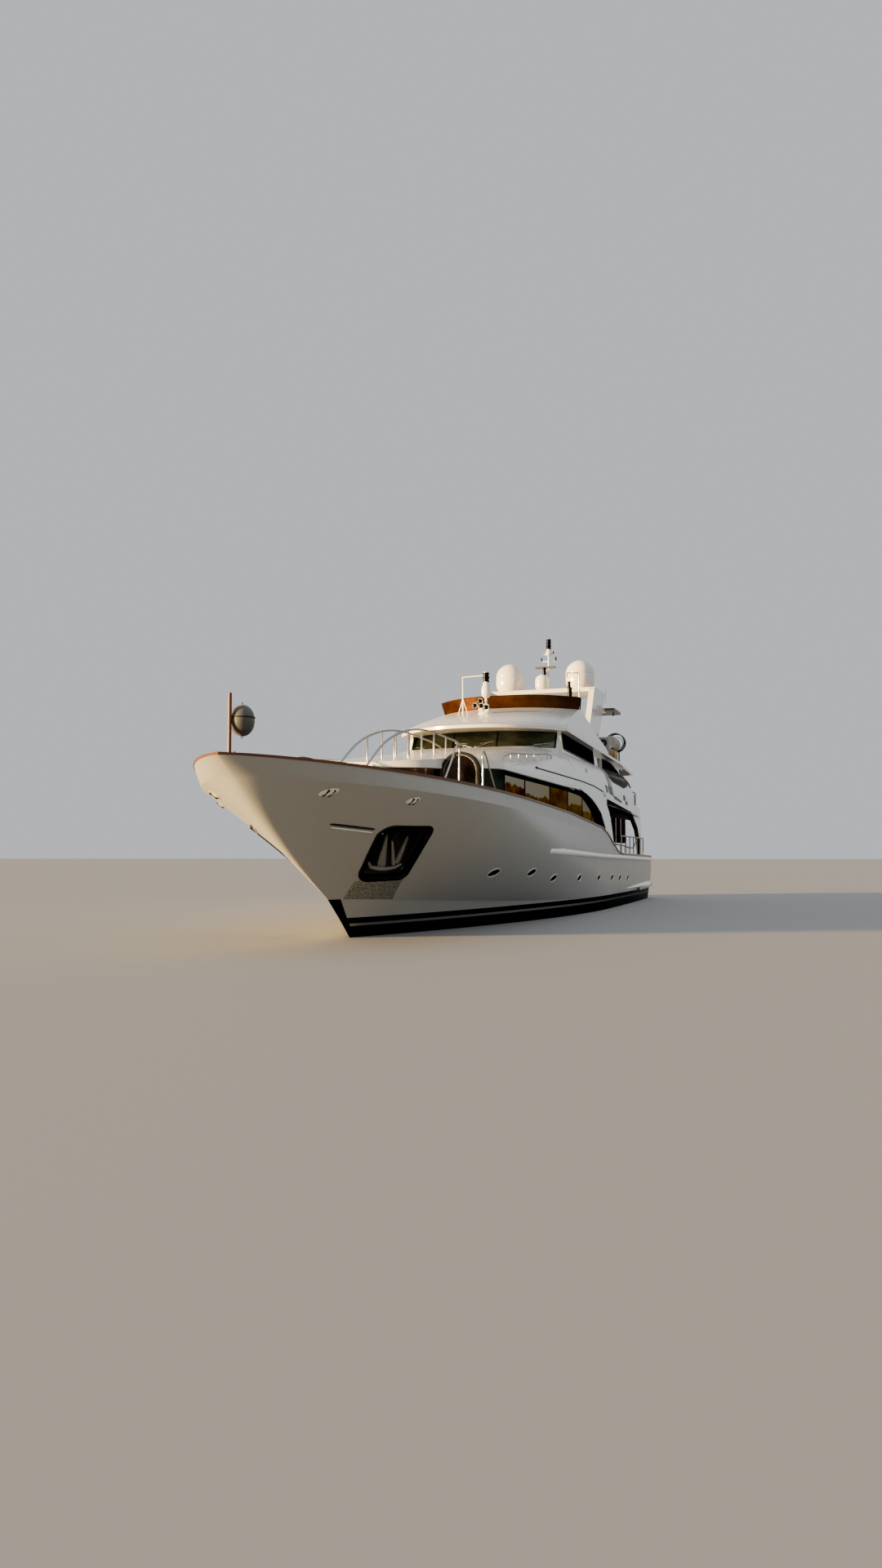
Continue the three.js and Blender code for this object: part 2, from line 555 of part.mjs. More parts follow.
// Cross section of the upper house. Each row: half breadth, height, share of an inset that lowers it.
const UPPER_SECTION = [[3520, 4000, 0], [3520, 4900, 0.2], [3440, 5300, 0.3], [3280, 5700, 0.5],
  [3020, 6000, 0.5], [WHEELHOUSE.side, 6900, 0]];
function upperSolid(inset) {
  const half = UPPER_SECTION.map(([y, z, share]) => [y - inset, z - inset * share]);
  const outline = [...half, ...half.slice().reverse().map(([y, z]) => [-y, z])];
  const noseRings = [4000, WHEELHOUSE.sill, WHEELHOUSE.top].map((z) => nosePlan(inset, z));
  return section(outline, WHEELHOUSE.aft + inset, ROOF.aft - 10 - inset * 0.1).add(loft(noseRings));
}
const upperOuter = upperSolid(0);
const coachroof = add('coachroof', cut(
  loft(roofRings).intersect(plan(bothSides(roofOutline), 4000, 7000)),
  loft([4000, 6500].map((z) => nosePlan(-GAP, WHEELHOUSE.sill).map(([x, y]) => [x, y, z]))),
  upperSlab(-500, DECK_PLATE + GAP).intersect(box(-18500, UPPER.front + GAP, -5000, 5000, 3000, 6000)),
  archBlock, mirrored(archBlock),
), WHITE);

// Wheelhouse and sky lounge
const upperFloor = upperSlab(-1500, DECK_PLATE + GAP);
const overRoof = slab(sunZ, -GAP, 3000);
const sideHole = (outline) => [profile(outline, 1500, 5000), profile(outline, -5000, -1500)];
const DOOR_X = [-8150, -7250];
const LOUNGE_DOORWAY = { half: 1050, head: 6080 };
const windscreenHoles = [[-2620, -880], [-800, 800], [880, 2620]]
  .map(([y0, y1]) => box(-330, 2000, y0, y1, 6140, 6640));
const cabinHoles = [
  [[-700, 6120], [-6500, 6010], [-6200, 6480], [-700, 6620]],
  [[-8600, 5800], [-12950, 5560], [-12400, 6080], [-10200, 6330], [-8600, 6380]],
  [[DOOR_X[0], 4000], [DOOR_X[1], 4000], [DOOR_X[1], 6380], [DOOR_X[0], 6380]],
];
const { half: loungeHalf, head: loungeHead } = LOUNGE_DOORWAY;
const upperShell = cut(
  upperOuter, upperSolid(HOUSE_WALL), upperFloor, overRoof, windscreenHoles, cabinHoles.flatMap(sideHole),
  box(WHEELHOUSE.aft - 100, WHEELHOUSE.aft + 200, -loungeHalf, loungeHalf, 4000, loungeHead),
);
const DOOR_FOOT = 4640;
const doorTrack = box(DOOR_X[0] - 1150, DOOR_X[1] + 100, 3350, 3416, DOOR_FOOT - 40, DOOR_FOOT - GAP);
add('upper_house', join(upperShell, doorTrack, mirrored(doorTrack)), WHITE);
const glassSkin = cut(upperSolid(HOUSE_WALL + GAP), upperSolid(HOUSE_WALL + GAP + 20));
const doorSkin = cut(upperSolid(HOUSE_WALL + 28), upperSolid(HOUSE_WALL + 63));
add('windshield', glassSkin.intersect(box(-320, 2000, -2700, 2700, 6070, 6700)), GLASS);
function sidePane(x0, x1, z0, z1) {
  return glassSkin.intersect(box(x0, x1, 500, 5000, z0, z1)).subtract(slab(sunZ, -12, 3000));
}
addPair('wheelhouse_glass', sidePane(-6600, -650, 5950, 6660), GLASS);
addPair('sky_lounge_glass', sidePane(-13050, -8500, 5480, 6400), GLASS);
const doorSlot = box(DOOR_X[0] - 50, DOOR_X[1] + 50, 500, 5000, DOOR_FOOT, 6420);
addPair('wheelhouse_door', doorSkin.intersect(doorSlot), WHITE);
const loungeDoorX = WHEELHOUSE.aft + HOUSE_WALL + 6;
const loungeFoot = upperZ(loungeDoorX + 40) + DECK_PLATE + GAP;
addPair('sky_lounge_door', box(
  loungeDoorX, loungeDoorX + 40, 3, loungeHalf + 60, loungeFoot, loungeHead + 50,
), GLASS);

// Sun deck with its brow and flying bridge coaming
const SUN_PLATE = 110;
const curve = (front, depth, side, back, z, power = 2.4) => {
  const half = [[back, side, z]];
  for (let i = 0; i <= 9; i += 1) {
    const a = (i / 9) * Math.PI / 2;
    const y = side * Math.cos(a);
    half.push([front - depth * Math.pow(Math.cos(a), power), y, z]);
  }
  return [...half, ...half.slice(0, -1).reverse().map(([x, y]) => [x, -y, z])];
};
const sunOutline = curve(1950, 2150, 3250, -11500, 0).map(([x, y]) => [x, y]);
const sunTail = [[-16800, 3000], [-17200, 2500]];
const sunPlan = [...sunTail.slice().reverse(), ...sunOutline, ...sunTail.map(([x, y]) => [x, -y])];
const sunSlab = plan(sunPlan, 5000, 8000).intersect(slab(sunZ, 0, SUN_PLATE));
// Each row: height, foremost x, depth of the curve, half breadth
const COAMING = [[6000, 1900, 2150, 3230], [6860, 1900, 2150, 3230], [6990, 1700, 2050, 3200],
  [7400, 200, 1850, 3080], [8050, -2700, 1450, 2900]];
const coaming = loft(COAMING.map(([z, front, depth, side]) => curve(front, depth, side, -8600, z)));
const fallLine = [[-4500, 9000], [-4500, 8050], [-6700, 7200], [-8700, 6700], [-8700, 9000]];
const falling = profile(fallLine, -5000, 5000);
const cockpit = loft([curve(-3300, 1200, 2640, -9000, 5900), curve(-2900, 1400, 2760, -9000, 8100)]);
const underSun = slab(sunZ, -2000, 0);
const sunDeck = add('sun_deck', join(sunSlab, cut(coaming, cockpit, falling, underSun)), WHITE);
const SCREEN = { low: 8050 + GAP, high: 8540, thick: 22 };
function screenShape(inset, lowEnd, highEnd, over) {
  return loft([
    curve(-2760 - inset, 1450, 2840 - inset, lowEnd, SCREEN.low - over),
    curve(-2480 - inset, 1500, 2930 - inset, highEnd, SCREEN.high + over),
  ]);
}
add('flybridge_screen', cut(
  screenShape(0, -4600, -4350, 0), screenShape(SCREEN.thick, -4700, -4700, 1),
), BROWN_GLASS);

// Radar arch with its side wings
const ARCH_TOP = 9750;
const archLeg = profile([[-7000, 6300], [-9100, 6300], [-11450, 9560], [-11700, ARCH_TOP], [-9250, ARCH_TOP],
  [-9000, 9600]], 2320, 2560);
const archWing = box(-12500, -10700, 2500, 3120, 8860, 8940);
const archWebs = box(-11200, -10000, 2300, 2700, 8800, 9000);
const plateOutline = [[-9250, 9570], [-11500, 9570], [-11700, ARCH_TOP], [-9250, ARCH_TOP]];
const archPlate = profile(plateOutline, -2560, 2560);
const sunFloor = slab(sunZ, -2000, SUN_PLATE + GAP);
add('radar_arch', cut(join(
  archPlate, archLeg, mirrored(archLeg), archWing, mirrored(archWing), archWebs, mirrored(archWebs),
), sunFloor), WHITE);

// Domes, mast and radar
const SEAT = ARCH_TOP + GAP;
function domeProfile(radius, height) {
  const points = [[0, 0], [radius * 0.62, 0], [radius * 0.8, height * 0.08], [radius * 0.97, height * 0.22]];
  const spring = height - radius * 0.98;
  for (let i = 0; i <= 5; i += 1) {
    const a = (i / 5) * Math.PI / 2;
    points.push([radius * Math.cos(a), spring + radius * 0.98 * Math.sin(a)]);
  }
  points[points.length - 1][0] = 0;
  return points;
}
addPair('sat_dome', lathe(domeProfile(665, 1420), -10300, 1660, SEAT, 20), WHITE);
add('small_dome', lathe(domeProfile(330, 780), -9800, 0, SEAT, 16), WHITE);
const MAST = { x: -11100, top: 12410, armZ: 11350, bracketZ: 10820, scannerX: -10480 };
const acrossBar = (x, z, half, radius) => rod([x, -half, z], [x, half, z], radius, 8);
add('mast', join(
  rod([MAST.x, 0, SEAT], [MAST.x, 0, MAST.top - 200], 60, 12, 40),
  rod([MAST.x, 0, MAST.top - 300], [MAST.x, 0, MAST.top], 85, 14),
  acrossBar(MAST.x, MAST.armZ, 360, 20), acrossBar(MAST.x, MAST.armZ + 330, 240, 18),
  box(MAST.x - 20, MAST.scannerX + 90, -60, 60, MAST.bracketZ - 60, MAST.bracketZ),
  rod([MAST.scannerX, 0, MAST.bracketZ - 60], [MAST.scannerX, 0, MAST.bracketZ + 90], 80, 14),
), STEEL);
const scannerZ = MAST.bracketZ + 90 + GAP;
add('radar_scanner', box(MAST.scannerX - 55, MAST.scannerX + 55, -480, 480, scannerZ, scannerZ + 95), BLACK);

// Life rafts on saddles at the sun deck edge
const RAFT = { x: -10900, y: 2990, z: 7330, radius: 290, half: 620 };
const saddle = (x) => box(x - 50, x + 50, RAFT.y - 200, RAFT.y + 180, 6300, RAFT.z);
const raft = join(
  rod([RAFT.x - RAFT.half, RAFT.y, RAFT.z], [RAFT.x + RAFT.half, RAFT.y, RAFT.z], RAFT.radius, 20),
  saddle(RAFT.x - 370), saddle(RAFT.x + 370),
);
addPair('life_raft', cut(raft, sunFloor), WHITE);

// Signal mast with lamp, horns and bracket in front of the flying bridge
const SIGNAL = { x: -700, top: 9180, postY: -930, postTop: 9040, hornZ: 7720 };
const horn = (y) => rod([SIGNAL.x + 20, y, SIGNAL.hornZ], [SIGNAL.x + 330, y, SIGNAL.hornZ], 45, 12, 95);
const signal = join(
  rod([SIGNAL.x, 0, 7200], [SIGNAL.x, 0, SIGNAL.top - 280], 55, 12, 40),
  rod([SIGNAL.x, 0, SIGNAL.top - 300], [SIGNAL.x, 0, SIGNAL.top], 105, 14),
  horn(130), horn(-130), box(SIGNAL.x - 40, SIGNAL.x + 60, -180, 180, SIGNAL.hornZ - 60, SIGNAL.hornZ + 60),
  rod([SIGNAL.x, SIGNAL.postY, 7100], [SIGNAL.x, SIGNAL.postY, SIGNAL.postTop], 26, 8),
  rod([SIGNAL.x, SIGNAL.postY - 20, SIGNAL.postTop - 10], [SIGNAL.x, 60, SIGNAL.postTop + 20], 26, 8),
);
add('signal_mast', seatedOn(signal, sunDeck), STEEL);

// Rails: a top tube with evenly spaced posts between two shares of its length
function rail(points, radius, steps, posts, footZ) {
  const path = new THREE.CatmullRomCurve3(points.map((p) => new THREE.Vector3(...p)), false, 'centripetal');
  const legs = [];
  for (let i = 0; i < posts.count; i += 1) {
    const at = path.getPointAt(posts.from + (posts.to - posts.from) * i / (posts.count - 1));
    legs.push(rod([at.x, at.y, footZ(at.x)], at.toArray(), radius * 0.8, 6));
  }
  return join(tube(points, radius, steps), ...legs);
}
const HANDRAIL_Y = 420;
const HANDRAIL = [[13450, 2980], [13150, 3500], [12500, 4220], [11740, 4760], [10760, 5320], [9780, 5670],
  [8420, 5960], [7000, 6070], [5230, 6050], [3900, 5980], [3290, 5870], [3150, 5600]];
const handrailPath = HANDRAIL.map(([x, z]) => [x, HANDRAIL_Y, z]);
const handrailPosts = { from: 0.39, to: 0.995, count: 7 };
const foredeckRail = rail(handrailPath, 24, 22, handrailPosts, (x) => roofTop(x) - 80);
addPair('foredeck_handrail', cut(
  foredeckRail, coachroof.translate([0, 0, GAP]), mainDeck.translate([0, 0, GAP]),
), STEEL);
const steps = [];
for (let i = 0; i < 7; i += 1) {
  steps.push(box(11160, 11450 + i * 200, -360, 360, 2800, 4680 - i * 245));
}
add('foredeck_stairs', cut(join(steps), underDeck(GAP), coachroof.translate([0, 0, -GAP])), WHITE);
const RAIL_UP = DECK_PLATE + 900;
const upperHalf = [[-13930, 3400], [-14800, 3400], [-16000, 3240], [-16700, 2960], [-17120, 2300]];
const upperPath = [...upperHalf, [-17180, 0], ...upperHalf.slice().reverse().map(([x, y]) => [x, -y])]
  .map(([x, y]) => [x, y, upperZ(x) + RAIL_UP]);
add('upper_deck_rail', seatedOn(
  rail(upperPath, 26, 24, { from: 0.004, to: 0.996, count: 11 }, (x) => upperZ(x) + 60), upperDeck,
), STEEL);
const sideY = (x) => lineY(LINES[LINES.length - 1], x) - 80;
const aftRail = rail([-8700, -10500, -12500, -14500, -15900].map((x) => [x, sideY(x), 3050]), 24, 8,
  { from: 0.004, to: 0.996, count: 7 }, (x) => capZ(x) - 30);
addPair('aft_deck_rail', seatedOn(aftRail, capRail), STEEL);

// Stern: bathing platform and transom door
const platformHalf = AFT_CUT.half - GAP;
add('swim_platform', box(
  STERN_X + 5, AFT_CUT.front - GAP, -platformHalf, platformHalf, AFT_CUT.floor + GAP, AFT_CUT.floor + 60,
), TEAK);
const TRANSOM_TOP = 1950;
const transomHinge = (y) => box(
  AFT_CUT.front - 20, AFT_CUT.front - GAP, y - 90, y + 90, TRANSOM_TOP - 60, TRANSOM_TOP,
);
const transomPanel = box(AFT_CUT.front - 55, AFT_CUT.front - 6, -1400, 1400, 800, TRANSOM_TOP);
add('transom_door', join(transomPanel, transomHinge(1000), transomHinge(-1000)), WHITE);

// Running gear. Each propeller turns with its shaft in a two-armed bracket.
const bladeShape = new THREE.Shape();
bladeShape.moveTo(-70, 60).quadraticCurveTo(-210, 330, -110, 460);
bladeShape.quadraticCurveTo(0, 530, 110, 460).quadraticCurveTo(210, 330, 70, 60);
const blade = new THREE.ExtrudeGeometry(bladeShape, { depth: 26, bevelEnabled: false, curveSegments: 5 })
  .translate(0, 0, -13).rotateX(Math.PI / 2).rotateZ(0.96);
const blades = [0, 1, 2, 3].map((i) => solidOf(blade.clone().rotateX(i * Math.PI / 2)));
const hub = rod([-PROP.hubLength / 2, 0, 0], [PROP.hubLength / 2, 0, 0], PROP.hub, 20);
const shaft = rod([PROP.hubLength / 2 - 20, 0, 0], [SHAFT.front - PROP.x - 6, 0, 0], SHAFT.radius, 16);
addPair('propeller', join(hub, shaft, blades).translate([PROP.x, SHAFT.y, SHAFT.z]), BRONZE);

const BRACKET_X = -14850;
const lengthRod = (half, radius, sides) => rod(
  [BRACKET_X - half, SHAFT.y, SHAFT.z], [BRACKET_X + half, SHAFT.y, SHAFT.z], radius, sides,
);
function arm(dy, topZ) {
  const outline = [[-40, SHAFT.z], [40, SHAFT.z], [dy + 40, topZ], [dy - 40, topZ]];
  return section(outline.map(([y, z]) => [SHAFT.y + y, z]), BRACKET_X - 90, BRACKET_X + 90);
}
const bracket = cut(
  join(lengthRod(150, 92, 20), arm(-330, -900), arm(420, -700)),
  lengthRod(200, SHAFT.radius + 0.7, 24), hull.translate([0, 0, -GAP]),
);
addPair('shaft_bracket', bracket, BRONZE);

function foil(nose, tail, thick) {
  const half = [[nose - 30, thick * 0.3], [nose - 150, thick * 0.5], [nose - 400, thick * 0.45], [tail, 8]];
  return [[nose, 0], ...half, ...half.slice().reverse().map(([x, y]) => [x, -y])];
}
const stock = rod([0, 0, RUDDER.top - 20], [0, 0, RUDDER.port - GAP], 50, 16);
const rudder = join(plan(foil(310, -420, 100), -2180, RUDDER.top), stock).translate([RUDDER.x, SHAFT.y, 0]);
addPair('rudder', rudder, BLACK);

const FIN = { x: 1000, z: -1233, span: 930, root: 35 };
const finBody = extrude(foil(480, -560, 120), FIN.span, new THREE.Matrix4().makeTranslation(0, 0, FIN.root));
const finStub = rod([0, 0, -60], [0, 0, FIN.root + 20], 70, 16);
const finFrame = surfaceFrame(FIN.x, FIN.z);
const placed = (solid, matrix) => solid.transform(matrix.elements);
addPair('stabiliser_fin', cut(placed(join(finBody, finStub), finFrame), hull.translate([0, 0, -GAP])), BLACK);

export default yacht;
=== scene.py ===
# %% [markdown]
# # A motor yacht afloat
#
# This lesson dresses the solid model of a 38 m motor yacht so that it looks like
# the real boat: painted hull, teak, glass, polished steel and the small fittings
# that a solid model leaves out. The solid parts come in as a fixed frame, in
# metres: +X points to the bow, +Y to port, +Z up, and the water lies at z = 0.
# %% The frame
import math

import bmesh
import bpy
import numpy as np
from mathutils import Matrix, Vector


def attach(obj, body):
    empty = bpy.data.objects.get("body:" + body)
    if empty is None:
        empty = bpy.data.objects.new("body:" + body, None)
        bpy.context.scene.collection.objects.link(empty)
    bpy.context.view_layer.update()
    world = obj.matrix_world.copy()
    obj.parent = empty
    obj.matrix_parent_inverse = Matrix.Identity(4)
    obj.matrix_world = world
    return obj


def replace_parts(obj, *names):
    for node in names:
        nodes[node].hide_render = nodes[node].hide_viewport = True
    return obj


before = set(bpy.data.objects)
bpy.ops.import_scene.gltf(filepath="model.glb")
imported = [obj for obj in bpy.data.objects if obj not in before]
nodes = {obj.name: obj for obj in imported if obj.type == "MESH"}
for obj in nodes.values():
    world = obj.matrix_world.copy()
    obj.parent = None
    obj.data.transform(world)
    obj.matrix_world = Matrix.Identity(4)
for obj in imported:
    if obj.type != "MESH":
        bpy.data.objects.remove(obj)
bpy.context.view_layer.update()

# %% [markdown]
# # The camera
#
# The picture was taken from a small boat off the port bow, a little over two
# metres above the water, with a fairly wide lens. A camera could be placed by
# eye, but straight and level edges of the boat fix it exactly: the waterline,
# the deck edges and the stem give its place, and their vanishing points its turn.
# %% Camera
CAMERA_PLACE = (39.2, 11.85, 2.16)
CAMERA_TURN = math.radians(18.91)
CAMERA_TILT = math.radians(3.77)
LENS_MM, SENSOR_MM, FAR_AWAY = 25.22, 36, 2000


def add_object(name, data):
    """A new object in the scene, at the origin."""
    made = bpy.data.objects.new(name, data)
    bpy.context.collection.objects.link(made)
    return made


camera = add_object("camera", bpy.data.cameras.new("camera"))
camera.location = CAMERA_PLACE
camera.rotation_euler = Vector((
    -math.cos(CAMERA_TURN) * math.cos(CAMERA_TILT),
    -math.sin(CAMERA_TURN) * math.cos(CAMERA_TILT),
    math.sin(CAMERA_TILT),
)).to_track_quat("-Z", "Y").to_euler()
camera.data.lens = LENS_MM
camera.data.sensor_width = SENSOR_MM
camera.data.sensor_fit = "AUTO"
camera.data.clip_end = FAR_AWAY
bpy.context.scene.camera = camera
print("camera at", tuple(camera.location))

# %% [markdown]
# # Shader sums as Python sums
#
# Every finish below is worked out by nodes. Wiring them by hand hides the idea,
# so a small class wraps one socket and lets Python's own operators add the Math
# nodes: `1 - mask * 0.3` reads like the formula that it is. Colours never pass
# through Math nodes, which would turn them grey; they meet in a Mix node.
# %% One socket
class Wire:
    """A socket of a shader tree. A sum on it adds Math nodes to that tree."""

    def __init__(self, tree, socket=None):
        self.tree, self.socket = tree, socket

    def node(self, kind, settings=None, sockets=None, output=0):
        """Adds a node: its settings first, then its sockets' values or links."""
        made = self.tree.nodes.new(kind)
        for name, value in (settings or {}).items():
            setattr(made, name, value)
        for name, value in (sockets or {}).items():
            if isinstance(value, Wire):
                self.tree.links.new(value.socket, made.inputs[name])
            else:
                made.inputs[name].default_value = value
        return Wire(self.tree, made.outputs[output])

    def math(self, operation, *values):
        """A Math node over wires and plain numbers."""
        return self.node("ShaderNodeMath", {"operation": operation}, dict(enumerate(values)))

    # Python calls the next seven for +, -, *, / and for > and <, which give 1 or 0.
    def __add__(self, other):
        return self.math("ADD", self, other)

    def __sub__(self, other):
        return self.math("SUBTRACT", self, other)

    def __rsub__(self, other):
        return self.math("SUBTRACT", other, self)

    def __mul__(self, other):
        return self.math("MULTIPLY", self, other)

    def __truediv__(self, other):
        return self.math("DIVIDE", self, other)

    def __gt__(self, other):
        return self.math("GREATER_THAN", self, other)

    def __lt__(self, other):
        return self.math("LESS_THAN", self, other)

    __radd__ = __add__
    __rmul__ = __mul__

    def rise(self, low, high):
        """0 below low, 1 above high, and a soft S between them."""
        return self.node("ShaderNodeMapRange", {"interpolation_type": "SMOOTHSTEP"},
                         {"Value": self, "From Min": low, "From Max": high})

    def mix(self, first, second):
        """The first colour where this wire is 0 and the second where it is 1."""
        return self.node("ShaderNodeMix", {"data_type": "RGBA"}, {0: self, 6: first, 7: second}, 2)


print("operators of a Wire: + - * / > <")

# %% [markdown]
# # Starting a finish
#
# A finish is a Principled shader with fixed values on its own sockets, plus a few
# wires for what changes over the surface. Patterns read Object coordinates. Every
# part keeps its object at the origin, so a pattern runs on across neighbours.
# %% Helpers for finishes
def colour(red, green, blue):
    """A colour as a shader socket takes it."""
    return (red, green, blue, 1)


def start(name, **fixed):
    """A new material, a function that plugs a wire into its shader, and the object position."""
    material = bpy.data.materials.new(name)
    material.use_nodes = True
    tree = material.node_tree
    shader = tree.nodes["Principled BSDF"]
    for socket, value in fixed.items():
        shader.inputs[socket.replace("_", " ")].default_value = value

    def put(socket, wire):
        """Plugs a wire into one of the shader's sockets."""
        tree.links.new(wire.socket, shader.inputs[socket])

    place = Wire(tree).node("ShaderNodeTexCoord", output=3)
    return material, put, place


def axes(place):
    """The three coordinates of a position as wires."""
    made = place.node("ShaderNodeSeparateXYZ", {}, {0: place})
    outputs = made.socket.node.outputs
    return [Wire(place.tree, outputs[i]) for i in range(3)]


def cloud(place, scale, stretch=(1, 1, 1), detail=4, rough=0.55):
    """Noise from 0 to 1. Stretch squeezes it along the axes that carry a larger number."""
    moved = place.node("ShaderNodeMapping", {}, {"Vector": place, "Scale": stretch})
    return place.node("ShaderNodeTexNoise", {}, {
        "Vector": moved, "Scale": scale, "Detail": detail, "Roughness": rough})


def relief(height, distance, strength=0.5):
    """A bump whose full height is the distance in metres."""
    return height.node("ShaderNodeBump", {}, {
        "Strength": strength, "Distance": distance, "Height": height})


print("white as a socket takes it:", colour(1, 1, 1))

# %% [markdown]
# # White paint
#
# The hull and houses of such a yacht are faired and sprayed in a warm white with
# a hard gloss. Up close the paint has a faint orange peel, over metres the long
# battens leave waves that bend reflections, and salt dries in upright streaks.
# A plain glossy white would look like plastic, so all three are in the finish.
# %% White paint
WHITE = colour(0.745, 0.72, 0.66)


def white_paint(name="white_paint", tone=WHITE, gloss=0.20):
    """Warm white gloss paint with streaks of salt, orange peel and long waves."""
    material, put, place = start(name, Coat_Roughness=0.20)
    streaks = cloud(place, 0.9, (2.0, 2.0, 0.3), 4, 0.55).rise(0.5, 0.85)
    patches = cloud(place, 0.35, detail=3)
    dulled = patches.mix(tone, colour(tone[0] * 0.955, tone[1] * 0.96, tone[2] * 0.97))
    put("Base Color", (streaks * 0.22).mix(dulled, colour(0.66, 0.64, 0.58)))
    put("Roughness", streaks * 0.12 + patches * 0.06 + gloss)
    put("Coat Weight", 0.7 - streaks * 0.25)
    waves = cloud(place, 0.8, (1, 1, 1.6), 2, 0.4)
    peel = cloud(place, 90, detail=2)
    put("Normal", relief(waves + peel * 0.02, 0.0009, 1.0))
    return material


paint = white_paint()
# The rails' brighter white is partly their own paint and partly painted light, for the light that their rounded tops
# catch.
rail_white_painted_light = white_paint("rail_white_painted_light", colour(0.90, 0.885, 0.84), 0.24)


def raft_shell():
    """Dulled white plastic above, and below a height in z a near-black painted shade over the saddles, which are seen
    in shade.
    """
    material, put, place = start("raft_shell")
    z = axes(place)[2]
    # Below this height the near-black colour is painted shade on the saddles.
    saddle_shade = z.rise(7.10, 7.06)
    chalk = cloud(place, 4, detail=5).rise(0.35, 0.8)
    shell = (chalk * 0.5).mix(colour(0.44, 0.41, 0.34), colour(0.24, 0.22, 0.175))
    put("Base Color", saddle_shade.mix(shell, chalk.mix(colour(0.018, 0.018, 0.015), colour(0.045, 0.042, 0.034))))
    put("Coat Weight", 0.2 - saddle_shade * 0.2)
    put("Roughness", chalk * 0.2 + saddle_shade * 0.3 + 0.34)
    put("Normal", relief(chalk, 0.002, 0.5))
    return material


raft_white = raft_shell()
print("white paint ready")

# %% [markdown]
# # Hull paint
#
# The topsides take a grey that stands for white paint in shade: painted shade, darker than the white of the houses.
# Near the water the hull turns to a black boot top that a thin pale line divides, and below the water to a dark bottom
# paint. The lines follow the hull and not the water: they drop a little towards the ends. A height worked out from x
# gives them, which no image could do as sharply. Grime gathers just above the black. The black is treated as a dark
# tinted mirror, so that it stays black at a slant.
# %% Hull paint
# The topsides' grey is painted shade: the hull's white paint darkened to look as it does in shade.
SHADED_TOPSIDE = colour(0.33, 0.33, 0.30)
BOOT_TOP, STRIPE_LOW, STRIPE_WIDTH = 0.585, 0.355, 0.07


def hull_paint():
    """Topsides in a grey that is painted shade, black boot top with a pale line, dull bottom paint and grime."""
    material, put, place = start("hull_paint", Coat_Roughness=0.12, Specular_IOR_Level=0.3,
                                 Specular_Tint=colour(0.12, 0.12, 0.12))
    x, _, z = axes(place)
    drop = x.rise(0, 12.6) * -0.04 + x.rise(-8, -19) * -0.03
    top, line_low = drop + BOOT_TOP, drop + STRIPE_LOW
    white = z > top
    pale = (z > line_low) * (z < line_low + STRIPE_WIDTH)
    bottom = z < 0.02
    streaks = cloud(place, 0.9, (2.4, 2.4, 0.2), 5, 0.58).rise(0.5, 0.85)
    tide = (z - top).rise(0.55, 0.0) * cloud(place, 3.0, (1, 1, 2.5), 5).rise(0.35, 0.8)
    patches = cloud(place, 0.3, detail=3)
    # Both greys of the topsides are painted shade, mixed in random patches.
    shaded_topsides = patches.mix(SHADED_TOPSIDE, colour(0.305, 0.305, 0.275))
    weathered = (streaks * 0.22 + tide * 0.3).mix(shaded_topsides, colour(0.245, 0.235, 0.20))
    scum = cloud(place, 5, (1, 1, 3), 5).rise(0.4, 0.8)
    black = scum.mix(colour(0.006, 0.0065, 0.008), colour(0.022, 0.024, 0.024))
    striped = pale.mix(black, colour(0.42, 0.42, 0.41))
    under = scum.mix(colour(0.012, 0.016, 0.024), colour(0.035, 0.04, 0.042))
    put("Base Color", white.mix(bottom.mix(striped, under), weathered))
    put("Roughness", white * 0.05 + bottom * 0.35 + streaks * 0.10 + 0.30)
    put("Metallic", 1 - white)
    put("Coat Weight", white * 0.25)
    waves = cloud(place, 0.55, (1, 1, 1.4), 2, 0.4)
    peel = cloud(place, 90, detail=2)
    put("Normal", relief(waves + peel * 0.005, 0.005, 1.0))
    return material


shaded_hull_paint = hull_paint()
print("boot top up to", BOOT_TOP, "m over the water")

# %% [markdown]
# # Wood
#
# Two woods show. The decks are laid teak: narrow strakes that run fore and aft,
# with black rubber in the seams and butt joints set out at random. The cap rail
# and the jackstaff are varnished, so a clear coat lies over a redder wood and
# keeps its grain from being felt.
# %% Laid teak and varnish
STRAKE = 0.095


def laid_teak():
    """Grey-gold strakes along x with dark seams, butts and fine grain."""
    material, put, place = start("laid_teak", Specular_IOR_Level=0.3)
    x, y, _ = axes(place)
    lane = y / STRAKE
    strake = lane.math("FLOOR", lane)
    seam = lane.math("PINGPONG", lane, 0.5).rise(0.05, 0.025)
    tone = strake.node("ShaderNodeTexWhiteNoise", {"noise_dimensions": "1D"}, {"W": strake})
    butt = (x / 3.1 + tone * 7.3)
    butt = butt.math("PINGPONG", butt, 0.5).rise(0.0015, 0.0008)
    grain = cloud(place, 14, (0.35, 8, 8), 6, 0.65)
    wear = cloud(place, 0.7, detail=4)
    gold = (grain * 0.7 + tone * 0.5).mix(colour(0.36, 0.235, 0.13), colour(0.20, 0.115, 0.055))
    silver = (wear.rise(0.4, 0.75) * 0.55).mix(gold, colour(0.33, 0.29, 0.235))
    joint = seam.math("MAXIMUM", seam, butt)
    put("Base Color", joint.mix(silver, colour(0.02, 0.018, 0.016)))
    put("Roughness", 0.72 - joint * 0.2 + grain * 0.12)
    put("Normal", relief(grain * 0.25 - joint, 0.003, 0.6))
    return material


